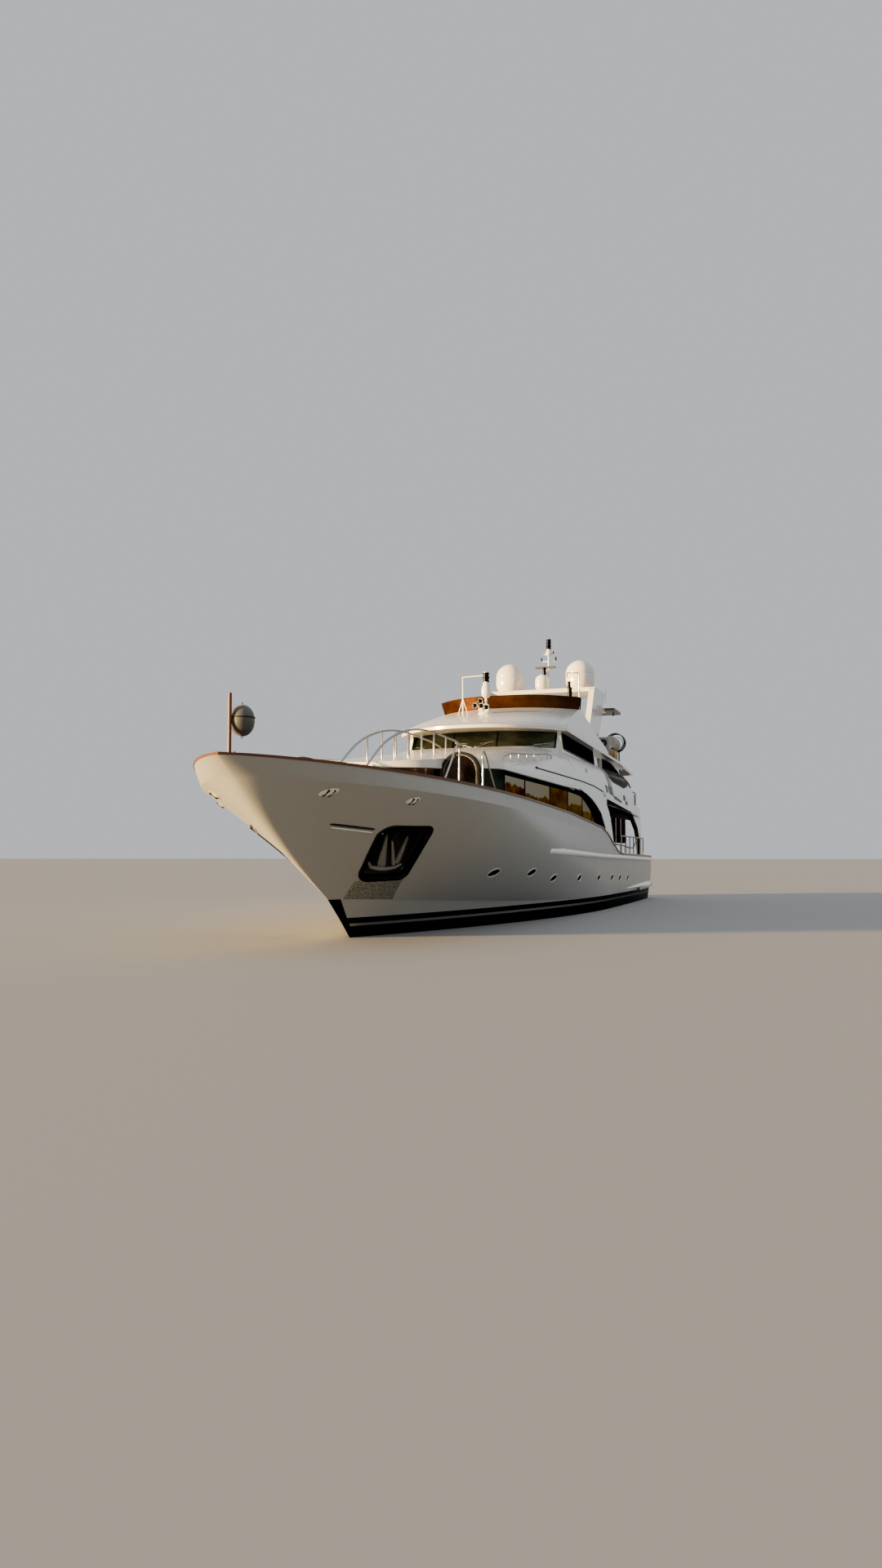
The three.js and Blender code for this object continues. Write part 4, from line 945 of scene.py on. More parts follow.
def smooth_all(material, *names, **options):
    """Smooth copies of several solid parts in one finish."""
    for name in names:
        smoothed(name, material, **options)


def pair(name):
    """The names of a part on both sides."""
    return ["port_" + name, "starboard_" + name]


smooth_all(paint, "main_deckhouse", "upper_house", "sun_deck", "upper_deck", "radar_arch", "foredeck_stairs")
smooth_all(rail_white_painted_light, *pair("rub_rail"))
smooth_all(raft_white, *pair("life_raft"))
smooth_all(bright_steel, *pair("foredeck_handrail"), "upper_deck_rail", *pair("aft_deck_rail"), angle=60, swell=0.008)
smooth_all(cast_steel, "windlass")
smooth_all(paint, "mast", "signal_mast")
smooth_all(varnished, "cap_rail", "jackstaff")
smooth_all(screen_glass, "windshield")
smooth_all(amber, "flybridge_screen")
for side in ("port_", "starboard_"):
    smooth_all(green_glass, side + "wheelhouse_glass", side + "sky_lounge_glass")
    for moving, finish in (("propeller", prop_bronze), ("rudder", black_paint), ("stabiliser_fin", black_paint)):
        smoothed(side + moving, finish, side + moving)

# %% [markdown]
# # Flat parts
#
# Decks, doors and panes are flat, so their triangles don't show. They stay as
# they are and only take a finish, on every material slot that they have.
# %% Finishes on solid parts
def refinish(material, *names):
    """Puts a material into every slot of solid parts that stay."""
    for name in names:
        for place in nodes[name].material_slots:
            place.material = material


refinish(teak, "main_deck", "swim_platform")
refinish(black_paint, "stem_guard")
refinish(vinyl, "radar_scanner")
refinish(prop_bronze, *pair("shaft_bracket"))
refinish(brown_glass, *pair("saloon_glass"), *pair("saloon_door"))
refinish(dark_brown, "front_cabin_glass", *pair("passage_door"))
refinish(green_glass, *pair("sky_lounge_door"))
refinish(window_door, *pair("wheelhouse_door"))
refinish(paint, "transom_door")
print("the transom door is now in", nodes["transom_door"].material_slots[0].material.name)

# %% [markdown]
# # Trim around the anchor pocket
#
# A thick black rim edges the recess, so that the anchor's flukes do not chip the
# paint. It is a half round carried along the outline: outwards it lies on the
# curved side, inwards it rolls down into the pocket.
# %% Pocket rim
def pocket_path():
    """The pocket's outline laid on the port side, with out and aside directions along it."""
    flat = pocket_outline()
    centre = onto_side(POCKET_AT + flat[:, :1] * AHEAD + flat[:, 1:] * UP, OUT)
    _, out = side_frame(centre[:, 0], centre[:, 2])
    centre, out, inward = loop_frame(centre, out)
    return centre, out, -inward


RIM = [(-0.105, -0.12), (-0.095, -0.01), (-0.03, 0.024), (0.02, 0.032), (0.05, 0.026), (0.070, 0.004), (0.070, -0.02),
       (0.0, -0.12)]
rims = mirrored("pocket_rims", [carried(*pocket_path(), RIM)], black_paint, angle=50)
print("rim faces:", len(rims.data.polygons))

# %% [markdown]
# # Anchors
#
# Each anchor lies in its pocket with the flukes up on both sides of a slim shank
# and the heavy crown across the foot. A fluke is a blade with a ridge: its height
# falls from the ridge to both edges, which touch the floor of the pocket.
# %% Anchors
def in_pocket(a, b, c):
    """Points at a forward, b up and c out in the pocket's frame."""
    return POCKET_AT + points_at(a, b, c) @ np.stack([AHEAD, UP, OUT])


def fluke(tip, fore, aft, ridge=0.06):
    """A blade from a tip to a base line. Its height is the ridge times the root of the way, less towards the edges."""
    t, s = np.meshgrid(np.linspace(0.02, 1, 12), np.linspace(-1, 1, 11), indexing="ij")
    tip, fore, aft = np.array(tip), np.array(fore), np.array(aft)
    flat = tip + t[..., None] * ((fore + aft) / 2 - tip + s[..., None] * (aft - fore) / 2)
    out = np.where(np.abs(s) > 0.97, -0.33, -0.27 + ridge * (1 - np.abs(s)) * np.sqrt(t))
    return in_pocket(flat[..., 0], flat[..., 1], out).reshape(-1, 3), grid(12, 11)[:, ::-1]


way = np.linspace(0, 1, 14)
shank = tube(in_pocket(0.15 - 0.68 * way, 0.26 - 0.90 * way, -0.19), 0.026 + 0.030 * way, OUT)
foot = evenly([(0.38, -0.58), (0.18, -0.78), (-0.10, -0.84), (-0.42, -0.85), (-0.68, -0.80), (-0.84, -0.66)], 40)
crown = tube(in_pocket(*foot.T, -0.20), 0.030 + 0.030 * np.sin(np.linspace(0, np.pi, 40)), OUT, 14)
fore_fluke = fluke((0.37, 0.42), (-0.05, -0.80), (-0.47, -0.82))
aft_fluke = fluke((-0.40, 0.36), (-0.62, -0.72), (-0.84, -0.60))
anchors = mirrored("anchors", [fore_fluke, aft_fluke, shank, crown], anchor_steel, angle=50, closed=False)
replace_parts(anchors, "port_anchor", "starboard_anchor")
print("anchor faces:", len(anchors.data.polygons))

# %% [markdown]
# # Scuff plates
#
# Below each pocket a sheet of brushed steel reaches down to the chine and takes
# the blows of the anchor as it comes up. It is a patch of the side itself, four
# corners blended over two parameters and lifted a few millimetres.
# %% Scuff plates
def side_patch(corners, lift, rows=30, cols=24):
    """A patch between four (x, z) corners, blended in both directions, laid on the side and lifted."""
    s, t = np.meshgrid(np.linspace(0, 1, rows), np.linspace(0, 1, cols), indexing="ij")
    p = np.asarray(corners, float)
    flat = ((1 - s)[..., None] * ((1 - t)[..., None] * p[0] + t[..., None] * p[3])
            + s[..., None] * ((1 - t)[..., None] * p[1] + t[..., None] * p[2]))
    at, out = side_frame(flat[..., 0], flat[..., 1])
    edge = np.minimum(np.minimum(s, 1 - s) * rows, np.minimum(t, 1 - t) * cols) < 0.5
    height = np.where(edge, -0.004, lift)
    return surface(at + out * height[..., None])


SCUFF_CORNERS = [(13.18, 1.53), (13.06, 1.052), (11.14, 0.985), (11.56, 1.58)]
mirrored("scuff_plates", [side_patch(SCUFF_CORNERS, 0.006)], scuff_steel, angle=60, closed=False)
print("half breadth at the plate's corners:", side_y(*np.transpose(SCUFF_CORNERS)).round(2))

# %% [markdown]
# # Portholes
#
# Eight oval ports a side light the cabins below. Each is a bright steel frame
# with a bead, set flush, around dark glass. One ring profile is carried around an
# ellipse on the side; the pane is the same ellipse drawn in towards its middle.
# %% Portholes
PORTS = [(7.98, 1.68), (5.60, 1.66), (3.30, 1.44), (0.0, 1.39), (-3.34, 1.34), (-6.09, 1.30), (-7.95, 1.26),
         (-10.1, 1.23)]


def side_oval(x, z, half_x, half_z, count=40, power=1.0):
    """A superellipse on the port side about x, z, with its directions. Power 1 is an ellipse, less is squarer."""
    turn = circle(count)
    across, up = [np.sign(wave) * np.abs(wave) ** power for wave in (np.cos(turn), np.sin(turn))]
    return loop_frame(*side_frame(x + half_x * across, z + half_z * up))


def side_lens(x, z, half_x, half_z, sunk, bulge, count=40):
    """A pane: rings of an ellipse drawn in to a point, sunk at the edge and bulged in the middle."""
    r, a = np.meshgrid(np.linspace(1, 0, 6), circle(count), indexing="ij")
    at, out = side_frame(x + half_x * r * np.cos(a), z + half_z * r * np.sin(a))
    height = bulge * (1 - r**2) - sunk
    return surface(at + out * height[..., None], True)


FRAME_PROFILE = [(-0.030, -0.03), (-0.026, 0.010), (-0.012, 0.016), (0.0, 0.012), (0.012, 0.020), (0.026, 0.014),
                 (0.032, -0.004), (0.02, -0.03)]
frames, panes = [], []
for x, z in PORTS:
    frames.append(both_sides(carried(*side_oval(x, z, 0.265, 0.125), FRAME_PROFILE)))
    panes.append(both_sides(side_lens(x, z, 0.25, 0.11, -0.004, 0.008)))
build("porthole_frames", together(*frames), cast_steel, angle=50)
build("porthole_panes", together(*panes), green_glass, angle=50, closed=False)
print(len(PORTS), "ports a side")

# %% [markdown]
# # Fairleads and the slot in the bow
#
# Mooring lines leave the bow through cast steel fairleads. Each is a polished, swollen oval, and two slanted slots let
# the lines out; black bars fill their throats as painted shade. Below and between them runs a narrow slot with a bright
# lower lip; a black bar in it is painted shade of its inside.
# %% Fairleads
FAIRLEADS = [(16.66, 3.60, 0.18, 0.090), (14.35, 3.50, 0.19, 0.090)]


def side_bar(x0, z0, x1, z1, radius, lift, count=20):
    """A round bar on the side between two points, its ends drawn in."""
    t = np.linspace(0, 1, count)
    at, out = side_frame(x0 + (x1 - x0) * t, z0 + (z1 - z0) * t)
    swell = radius * np.sqrt(np.clip(1 - np.abs(2 * t - 1) ** 12, 0.02, 1))
    return tube(at + out * lift, swell)


leads, throats = [], []
for x, z, half_x, half_z in FAIRLEADS:
    leads.append(side_lens(x, z, half_x, half_z, -0.004, 0.055))
    for shift in (0.070, -0.050):
        throats.append(side_bar(x + shift - 0.02, z - 0.8 * half_z, x + shift + 0.02, z + 0.8 * half_z, 0.026, 0.034))
mirrored("fairleads", leads, cast_steel, angle=60, closed=False)
# Black bars in the slots: painted shade of the openings.
mirrored("fairlead_throats", throats, rubber, angle=60)
slot_line = side_bar(15.70, 2.915, 14.36, 2.815, 0.046, -0.018, 40)
slot_lip = side_bar(15.58, 2.845, 14.33, 2.745, 0.024, 0.008, 40)
# A black bar along the slot: painted shade of its inside.
mirrored("bow_slots", [slot_line], rubber)
mirrored("bow_slot_lips", [slot_lip], cast_steel)
print(len(leads), "fairleads a side with", len(throats), "slots")

# %% [markdown]
# # Aft spray rail and mooring holes
#
# Low at the stern a white half-round rail grows out of the side and guards the bathing platform; its white is
# brightened like the rub rails', partly as painted light. Three oval holes in the bulwark, framed in cast steel, lead
# the stern lines, and a black pane in each is painted shade of the hole. Both follow the hull, so they are carried
# along it as the rest.
# %% Spray rails
t = np.linspace(0, 1, 60)
rail_at, rail_out = side_frame(-10.2 - 8.7 * t, 0.74 + 0.02 * np.sin(np.pi * t))
swell = (0.02 + 0.14 * np.minimum(1, 1.3 * t)) * np.minimum(1, 8 * (1.0 - t) + 0.5)
around = circle(14)[:, None]
section = 0.75 * np.cos(around) * rail_out[:, None] + np.sin(around) * (0, 0, 1)
mirrored("spray_rails", [shut(rail_at[:, None] + swell[:, None, None] * section)], rail_white_painted_light, angle=50)
HOLES = [(-6.6, 2.46), (-9.4, 2.14), (-16.4, 2.09)]
HOLE_RIM = [(-0.03, -0.03), (-0.03, 0.01), (0, 0.028), (0.03, 0.01), (0.03, -0.03)]
holes = [carried(*side_oval(x, z, 0.15, 0.06, 48, 2 / 3), HOLE_RIM) for x, z in HOLES]
# A black pane in each hole: painted shade.
hole_throats = [side_lens(x, z, 0.15, 0.06, -0.003, 0.002) for x, z in HOLES]
mirrored("stern_line_holes", holes, cast_steel, angle=60)
mirrored("stern_hole_throats", hole_throats, rubber, angle=60, closed=False)
print(len(HOLES), "stern line holes a side")

# %% [markdown]
# # Domes
#
# The domes shelter satellite dishes. Each is a smooth shell that narrows to its
# foot, with a seam where the cap lifts off. A turned profile with many steps
# keeps its outline round where the solid's few sides would show.
# %% Domes
def dome_profile(radius, height):
    """A foot, a swelling side, a fine seam and a round top, as (radius, height) pairs."""
    top = np.linspace(0, np.pi / 2, 22)
    spring = height - radius * 0.98
    foot = [(0, 0), (0.62, 0), (0.64, 0.012), (0.80, 0.08), (0.90, 0.15), (0.97, 0.22), (0.995, 0.30)]
    side = [(r * radius, h * height) for r, h in foot]
    seam = [(radius, spring - 0.03), (radius * 0.992, spring - 0.022), (radius * 0.992, spring - 0.012)]
    cap = np.stack([radius * np.cos(top), spring + radius * 0.98 * np.sin(top)], -1)
    cap[-1, 0] = 0
    return np.vstack([side, seam, cap])


ARCH_SEAT = 9.7503
DOMES = {"port_sat_dome": (0.665, 1.42, -10.3, 1.66), "starboard_sat_dome": (0.665, 1.42, -10.3, -1.66),
         "small_dome": (0.33, 0.78, -9.8, 0.0)}
for name, (radius, height, x, y) in DOMES.items():
    shell = build(name + "_shell", turned(dome_profile(radius, height), (x, y, ARCH_SEAT)), paint, angle=40)
    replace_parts(shell, name)
print(len(DOMES), "domes")

# %% [markdown]
# # The anchor ball
#
# By day a yacht at anchor hangs a black ball at the bow. This one is blown-up
# vinyl: two cups welded on a flat seam, a little longer than wide, with an eye at
# each end and shallow creases that gather towards the eyes.
# %% Anchor ball
BALL_AT = np.array([18.263, 0.133, 5.090])


def vinyl_ball(radius=0.275, half=0.345, rows=48, cols=96):
    """A longish ball: radius falls as a cosine of height, with creases that grow towards the ends."""
    b, a = np.meshgrid(np.linspace(-np.pi / 2, np.pi / 2, rows), circle(cols), indexing="ij")
    crease = 1 - 0.022 * np.abs(np.sin(b)) ** 3 * (0.5 + 0.5 * np.cos(11 * a + np.sin(3 * a)))
    r = radius * np.cos(b) ** 0.92 * crease
    return surface(points_at(r * np.cos(a), r * np.sin(a), half * np.sin(b)) + BALL_AT, True)


SEAM_PROFILE = [(0.266, -0.014), (0.284, -0.012), (0.288, 0.0), (0.284, 0.012), (0.266, 0.014)]
turn = np.linspace(0, 2 * np.pi, 25)
eye = points_at(0.026 * np.cos(turn), 0, 0.026 * np.sin(turn))
eyes = [tube(BALL_AT + eye + (0, 0, z), 0.009) for z in (0.362, -0.362)]
ball = build("anchor_ball_vinyl", together(vinyl_ball(), *eyes), vinyl, angle=45)
seam = turned(SEAM_PROFILE, BALL_AT + (0, 0, 0.06), 72)
build("anchor_ball_seam", seam, rubber, slot="black_vinyl", angle=45)
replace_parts(ball, "anchor_ball")
print("ball height:", round(float(ball.dimensions.z), 2))

# %% [markdown]
# # Saloon windows
#
# The saloon's side is one long ribbon of brown glass between the bulwark and the roof edge, parted by slim black
# mullions. The solid model cuts five openings in the wall; a ribbon of glass laid just outside it closes them to the
# one dark band that the eye sees. A black band along its top is partly black trim and partly painted shadow of the roof
# edge.
# %% Window ribbon
WALL_Y = 3.45
WINDOW_SILL = 3.26


def roof_edge(x):
    """Lower edge of the dark band above the windows, partly black trim and partly painted shadow of the roof edge:
    level along the roof, then down with the sweep.
    """
    return np.interp(x, [-5.3, -4.62, -4.0, -3.19, -2.4, -1.2, 1.0], [3.20, 3.58, 3.90, 4.24, 4.41, 4.55, 4.60])


along = np.linspace(-5.2, 9.2, 80)
sill = np.interp(along, [-5.2, -3.4], [3.02, WINDOW_SILL])
glass_band = sheet(along, WALL_Y + 0.008, sill, np.maximum(roof_edge(along) - 0.09, sill))
along = np.linspace(-6.2, 9.24, 80)
over_glass = np.where(along < -0.5, 0.45, 0.01)
edge_low = np.maximum(roof_edge(along) - 0.13, 2.9)
# The black edge band is partly trim and partly painted shadow of the roof edge.
edge_and_shadow_band = sheet(along, WALL_Y + 0.012, edge_low, np.minimum(roof_edge(along) + over_glass, 4.61))
mirrored("saloon_glazing", [glass_band], brown_glass, closed=False)
mirrored("saloon_glass_edge_and_shadow", [edge_and_shadow_band], black_paint, closed=False)


def mullion(x, low, high, half=0.05):
    """A slim upright with a rounded face, standing on the wall."""
    height = np.linspace(low, high, 12)[:, None]
    face = np.array([(-half, 0.0), (-half * 0.8, 0.014), (0, 0.020), (half * 0.8, 0.014), (half, 0.0)])
    return surface(points_at(x + face[:, 0], WALL_Y + 0.006 + face[:, 1], height))


MULLIONS = [6.84, 3.54, 0.80, -1.75, -3.60]
bars = [mullion(x, WINDOW_SILL, float(roof_edge(x)) - 0.1) for x in MULLIONS]
bars += [mullion(9.18, WINDOW_SILL, 4.5, 0.09)]
mirrored("saloon_mullions", bars, black_paint, closed=False)
print(len(bars), "mullions a side")

# %% [markdown]
# # Dark edge of the sweep
#
# Where the upper deck's side sweeps down to the bulwark, a black sheet covers its lower part along the edge, so that
# the windows seem to run on under it. Two bent lines, the sweep's own edge and the sheet's edge, are divided alike and
# joined by a sheet.
# %% Black sheet on the sweep
SWEEP_EDGE = [(-0.56, 4.64), (-2.46, 4.41), (-3.91, 4.02), (-4.81, 3.59), (-5.7, 3.16), (-6.2, 2.87)]
SHEET_EDGE = [(-0.60, 4.66), (-2.21, 4.50), (-3.1, 4.36), (-4.07, 4.14), (-4.86, 3.90), (-5.60, 3.44), (-6.26, 2.92)]
SWEEP_FACE = 3.60

low_line, high_line = evenly(SWEEP_EDGE, 40), evenly(SHEET_EDGE, 40)
rows = [(low_line, 3.466), (low_line, SWEEP_FACE + 0.006), (high_line, SWEEP_FACE + 0.006),
        (high_line, SWEEP_FACE - 0.01)]
sweep_black_sheet = surface(np.stack([points_at(line[:, 0], y, line[:, 1] - 0.004) for line, y in rows], 1))
mirrored("sweep_black_sheets", [sweep_black_sheet], black_paint, closed=False)
print("trim along", len(SWEEP_EDGE), "corners")

# %% [markdown]
# # Glass round the front
#
# Under the rim of the coach roof the same dark glass turns the corner to the
# arched doors and runs round the nose of the forward cabins. Seen from above its
# path is a straight shoulder and half an ellipse; the sheet stands on that path.
# %% Front glazing
HOUSE_FACE, HOUSE_NOSE, GLASS_TOP = 9.858, 1.10, 4.612
SHOULDER_X, SHOULDER_Y = [9.14, 9.256, 9.45, 9.65, 9.862, 9.864], [3.459, 3.459, 3.332, 3.202, 3.068, 2.97]
shoulder = sheet(SHOULDER_X, SHOULDER_Y, 3.2, GLASS_TOP)
turn = np.linspace(-np.pi / 2, np.pi / 2, 48)
nose = sheet(np.r_[HOUSE_FACE, HOUSE_FACE + HOUSE_NOSE * np.cos(turn), HOUSE_FACE],
             np.r_[-1.89, 1.848 * np.sin(turn), 1.89], 3.3, GLASS_TOP)
mirrored("shoulder_glazing", [shoulder], green_glass, angle=20, closed=False)
build("cabin_glazing", nose, dark_brown, angle=20, closed=False)
print("glass up to", GLASS_TOP, "m")

# %% [markdown]
# # Arches of the passage doors
#
# A black rubber moulding frames each arched door: a flat, slightly crowned face and a deep outer flank. One cross
# section is carried up a leg, over the half circle and down again.
# %% Arch mouldings
ARCH_Y, ARCH_FRONT, ARCH_RADIUS = 2.44, 10.11, 0.515
ARCH_FOOT, ARCH_SPRING = 2.86, 4.52
ARCH_SECTION = [(-0.043, -0.004), (-0.040, 0.012), (-0.020, 0.020), (0.020, 0.022), (0.044, 0.014), (0.053, -0.006),
                (0.053, -0.30), (0.046, -0.30), (0.046, -0.004)]


def arch_path(count=40):
    """Centre line of the moulding with its outward and sideways directions."""
    turn = np.linspace(0, np.pi, count)
    leg = np.linspace(ARCH_FOOT, ARCH_SPRING, 6)[:-1]
    side = np.r_[1 + 0 * leg, np.cos(turn), -1 + 0 * leg]
    rise = np.r_[0 * leg, np.sin(turn), 0 * leg]
    height = np.r_[leg, ARCH_SPRING + ARCH_RADIUS * np.sin(turn), leg[::-1]]
    centre = points_at(ARCH_FRONT, ARCH_Y + ARCH_RADIUS * side, height)
    return centre, (1.0, 0, 0) + 0 * centre, points_at(0, side, rise)


arch = carried(*arch_path(), ARCH_SECTION, closed_path=False)
mirrored("arch_mouldings", [arch], rubber, angle=40)
print("arch top at", ARCH_SPRING + ARCH_RADIUS, "m")

# %% [markdown]
# # The wheelhouse windscreen
#
# From afar the windscreen is one dark band that wraps round the corners, with
# black posts between the panes and wipers parked across them. Its plan is a
# parabola that leans back with height; behind the corners it turns into the side.
# %% Windscreen band
SCREEN_LOW, SCREEN_HIGH = 6.125, 6.80
HOUSE_FORE = -0.36


def screen_x(y, z):
    """Front of the wheelhouse: a parabola in y that leans back 0.45 for each metre of height."""
    return np.maximum(0.95 - 0.45 * (z - 6.1) - 1.15 * (y / 2.93) ** 2, HOUSE_FORE)


def on_screen(y, z, lift):
    """Points on the front, held off by lift."""
    return points_at(screen_x(y, z) + lift, y, z)


def screen_band(y0, y1, lift, count=36, rows=8):
    """A sheet on the front between two distances y."""
    y, z = np.linspace(y0, y1, count)[:, None], np.linspace(SCREEN_LOW, SCREEN_HIGH, rows)
    return surface(on_screen(y, z, lift))


mirrored("windscreen_band", [screen_band(0, 2.82, 0.010)], screen_glass, angle=25, closed=False)
posts = [screen_band(y - 0.035, y + 0.035, 0.017, count=4) for y in (0.84, 2.80)]
mirrored("windscreen_posts", posts, black_paint, closed=False)

share = np.linspace(0, 1, 14)
wipers = []
for y0, z0, y1, z1 in ((0.10, 6.14, 0.66, 6.34), (1.95, 6.14, 2.52, 6.30)):
    arm = on_screen(y0 + (y1 - y0) * share, z0 + (z1 - z0) * share, 0.045)
    blade = on_screen(y1 - 0.42 + 0.5 * share, z1 - 0.06 + 0.05 * share, 0.028)
    wipers += [tube(arm, 0.013, (0, 0, 1)), tube(blade, 0.012, (0, 0, 1)), soft_box(arm[0], (0.03, 0.04, 0.04), 0.5)]
mirrored("wipers", wipers, bright_steel, angle=50)
print("windscreen from", SCREEN_LOW, "to", SCREEN_HIGH, "m")

# %% [markdown]
# # Side glazing of the upper house
#
# The side panes are bonded flush over the openings. The wheelhouse pane runs on up to the brow, and its top part is
# painted shadow of the brow.
# The wall leans in with height, so a function gives its half breadth. Each pane is
# a sheet between a lower and an upper line, laid on that wall, with a rubber bead
# around it that follows the rounded outline.
# %% Side glazing
def cabin_y(z):
    """Half breadth of the upper house at a height, straight between its knuckles."""
    return np.interp(z, [4.0, 4.9, 5.3, 5.7, 6.0, 6.9], [3.52, 3.52, 3.44, 3.28, 3.02, 2.93])


def on_wall(x, z, lift=0.0):
    """Points on the side of the upper house, held off by lift."""
    return points_at(x, cabin_y(z) + lift, z)


def wall_sheet(low, high):
    """A sheet on the wall between two bent lines."""
    return between(low, high, lambda x, z: on_wall(x, z, 0.012))


BEAD_PROFILE = [(-0.03, -0.02), (-0.03, 0.012), (0, 0.022), (0.03, 0.012), (0.03, -0.02)]


def bead(outline, count=140, softening=4):
    """A small round section carried along a closed outline on the wall. Averaging neighbours rounds its corners."""
    loop = evenly(list(outline) + [outline[0]], count + 1)[:-1]
    for _ in range(softening):
        loop = (np.roll(loop, 1, 0) + 2 * loop + np.roll(loop, -1, 0)) / 4
    centre = on_wall(loop[:, 0], loop[:, 1])
    slope = (cabin_y(loop[:, 1] + 0.02) - cabin_y(loop[:, 1] - 0.02)) / 0.04
    return carried(*loop_frame(centre, unit(points_at(0, 1, -slope))), BEAD_PROFILE)


# The wheelhouse pane's upper line lies above its opening: the strip up to the brow is painted shadow.
WHEELHOUSE_PANE_AND_BROW_SHADOW = [(-0.55, 6.13), (-3.5, 6.06), (-6.48, 5.99)], [(-0.55, 6.79), (-3.5, 6.73), (-6.38, 6.67)]
LOUNGE_END = [(-13.0, 5.64), (-13.4, 5.44), (-13.76, 5.42)], [(-12.62, 6.28), (-13.2, 6.28), (-13.76, 6.27)]
LOUNGE_PANE = ([(-8.15, 5.62), (-8.7, 5.42), (-11.3, 5.30), (-12.9, 5.50)],
               [(-8.35, 6.42), (-9.5, 6.44), (-10.6, 6.39), (-12.45, 6.10)])
side_glass = [wall_sheet(low, high) for low, high in (WHEELHOUSE_PANE_AND_BROW_SHADOW, LOUNGE_PANE)]
beads = [bead(low + high[::-1]) for low, high in (WHEELHOUSE_PANE_AND_BROW_SHADOW, LOUNGE_PANE)]
mirrored("side_glazing", side_glass, green_glass, closed=False)
mirrored("wing_screens", [wall_sheet(*LOUNGE_END)], rubber, closed=False)
mirrored("side_glazing_beads", beads, rubber, angle=50)
print(len(beads), "panes a side")

# %% [markdown]
# # Gutter, handrail and lamp on the roof's side
#
# A rubber-lined gutter leads rain aft, a low handrail follows the shoulder of the
# coach roof, and a small round courtesy lamp is let into the house side. The roof's
# cross section is a superellipse, so its half breadth at a height is known.
# %% Side of the coach roof
HOUSE_HALF, ROOF_FOOT = 3.52, 4.7


def roof_top(x):
    """Height of the roof's ridge: a slope that ends level."""
    return np.minimum(6.12, 4.78 + 0.135 * (11.1 - x))


def roof_power(x):
    """Power of the superellipse: 4 forward, squarer aft."""
    return 4 + 4 * np.clip((4 - x) / 4.5, 0, 1)


def roof_y(x, z):
    """Half breadth of the coach roof at x and height z: cosine to the power 2 / n, where the sine gives z."""
    sine = np.clip((z - ROOF_FOOT) / (roof_top(x) - ROOF_FOOT), 0, 0.999)
    return np.where(x < HOUSE_FORE + 0.01, cabin_y(z), HOUSE_HALF * np.sqrt(1 - sine**2) ** (2 / roof_power(x)))


def roof_z(x, y):
    """Height of the coach roof at x and half breadth y."""
    cosine = (y / HOUSE_HALF) ** (roof_power(x) / 2)
    return ROOF_FOOT + (roof_top(x) - ROOF_FOOT) * np.sqrt(1 - cosine**2)


gutter = evenly([(5.25, 4.97), (1.85, 4.97), (-1.5, 4.98), (-3.8, 4.94), (-5.75, 4.82)], 90)
gutter_path = points_at(gutter[:, 0], roof_y(gutter[:, 0], gutter[:, 1]) + 0.004, gutter[:, 1])
gutters = [tube(gutter_path, 0.024), soft_box(gutter_path[0], (0.10, 0.035, 0.045), 0.6)]
mirrored("side_gutters", gutters, rubber, angle=50)

RAIL_Y = 3.2
rail_x = np.array([8.50, 8.30, 7.9, 7.16, 5.89, 4.57, 3.16, 2.5, 2.22, 2.12])
rail_up = np.array([-0.02, 0.10, 0.17, 0.21, 0.22, 0.22, 0.20, 0.16, 0.08, -0.03])
handrail = [tube(smooth_path(points_at(rail_x, RAIL_Y, roof_z(rail_x, RAIL_Y) + rail_up), 90), 0.018)]
for x in (7.5, 6.6, 5.6, 4.6, 3.6, 2.8):
    handrail.append(tube(points_at(x, RAIL_Y, roof_z(x, RAIL_Y) + np.array([-0.02, 0.21])), 0.013))
mirrored("shoulder_handrails", handrail, bright_steel, angle=60)
LAMP_PROFILE = [(0, -0.05), (0.115, -0.05), (0.115, 0.0), (0.10, 0.02), (0.085, 0.02), (0.05, 0.032), (0, 0.035)]
courtesy = turned(LAMP_PROFILE, (-3.02, float(cabin_y(5.47)), 5.47), 32, axis=1)
mirrored("courtesy_lamps", [courtesy], bright_steel, angle=40)
print("gutter length:", round(float(np.linalg.norm(np.diff(gutter_path, axis=0), axis=1).sum()), 2))

# %% [markdown]
# # The roof's own skin
#
# The roof over the forward cabins is the largest bright surface, so it deserves a
# finer mesh than the solid has. The rim seen from above gives the stations; from
# each, points run to the centre over the superellipse and down the rim's face. Two
# openings stay free where the arched doors stand.
# %% Coach roof skin
ROOF_RIM = 4.62


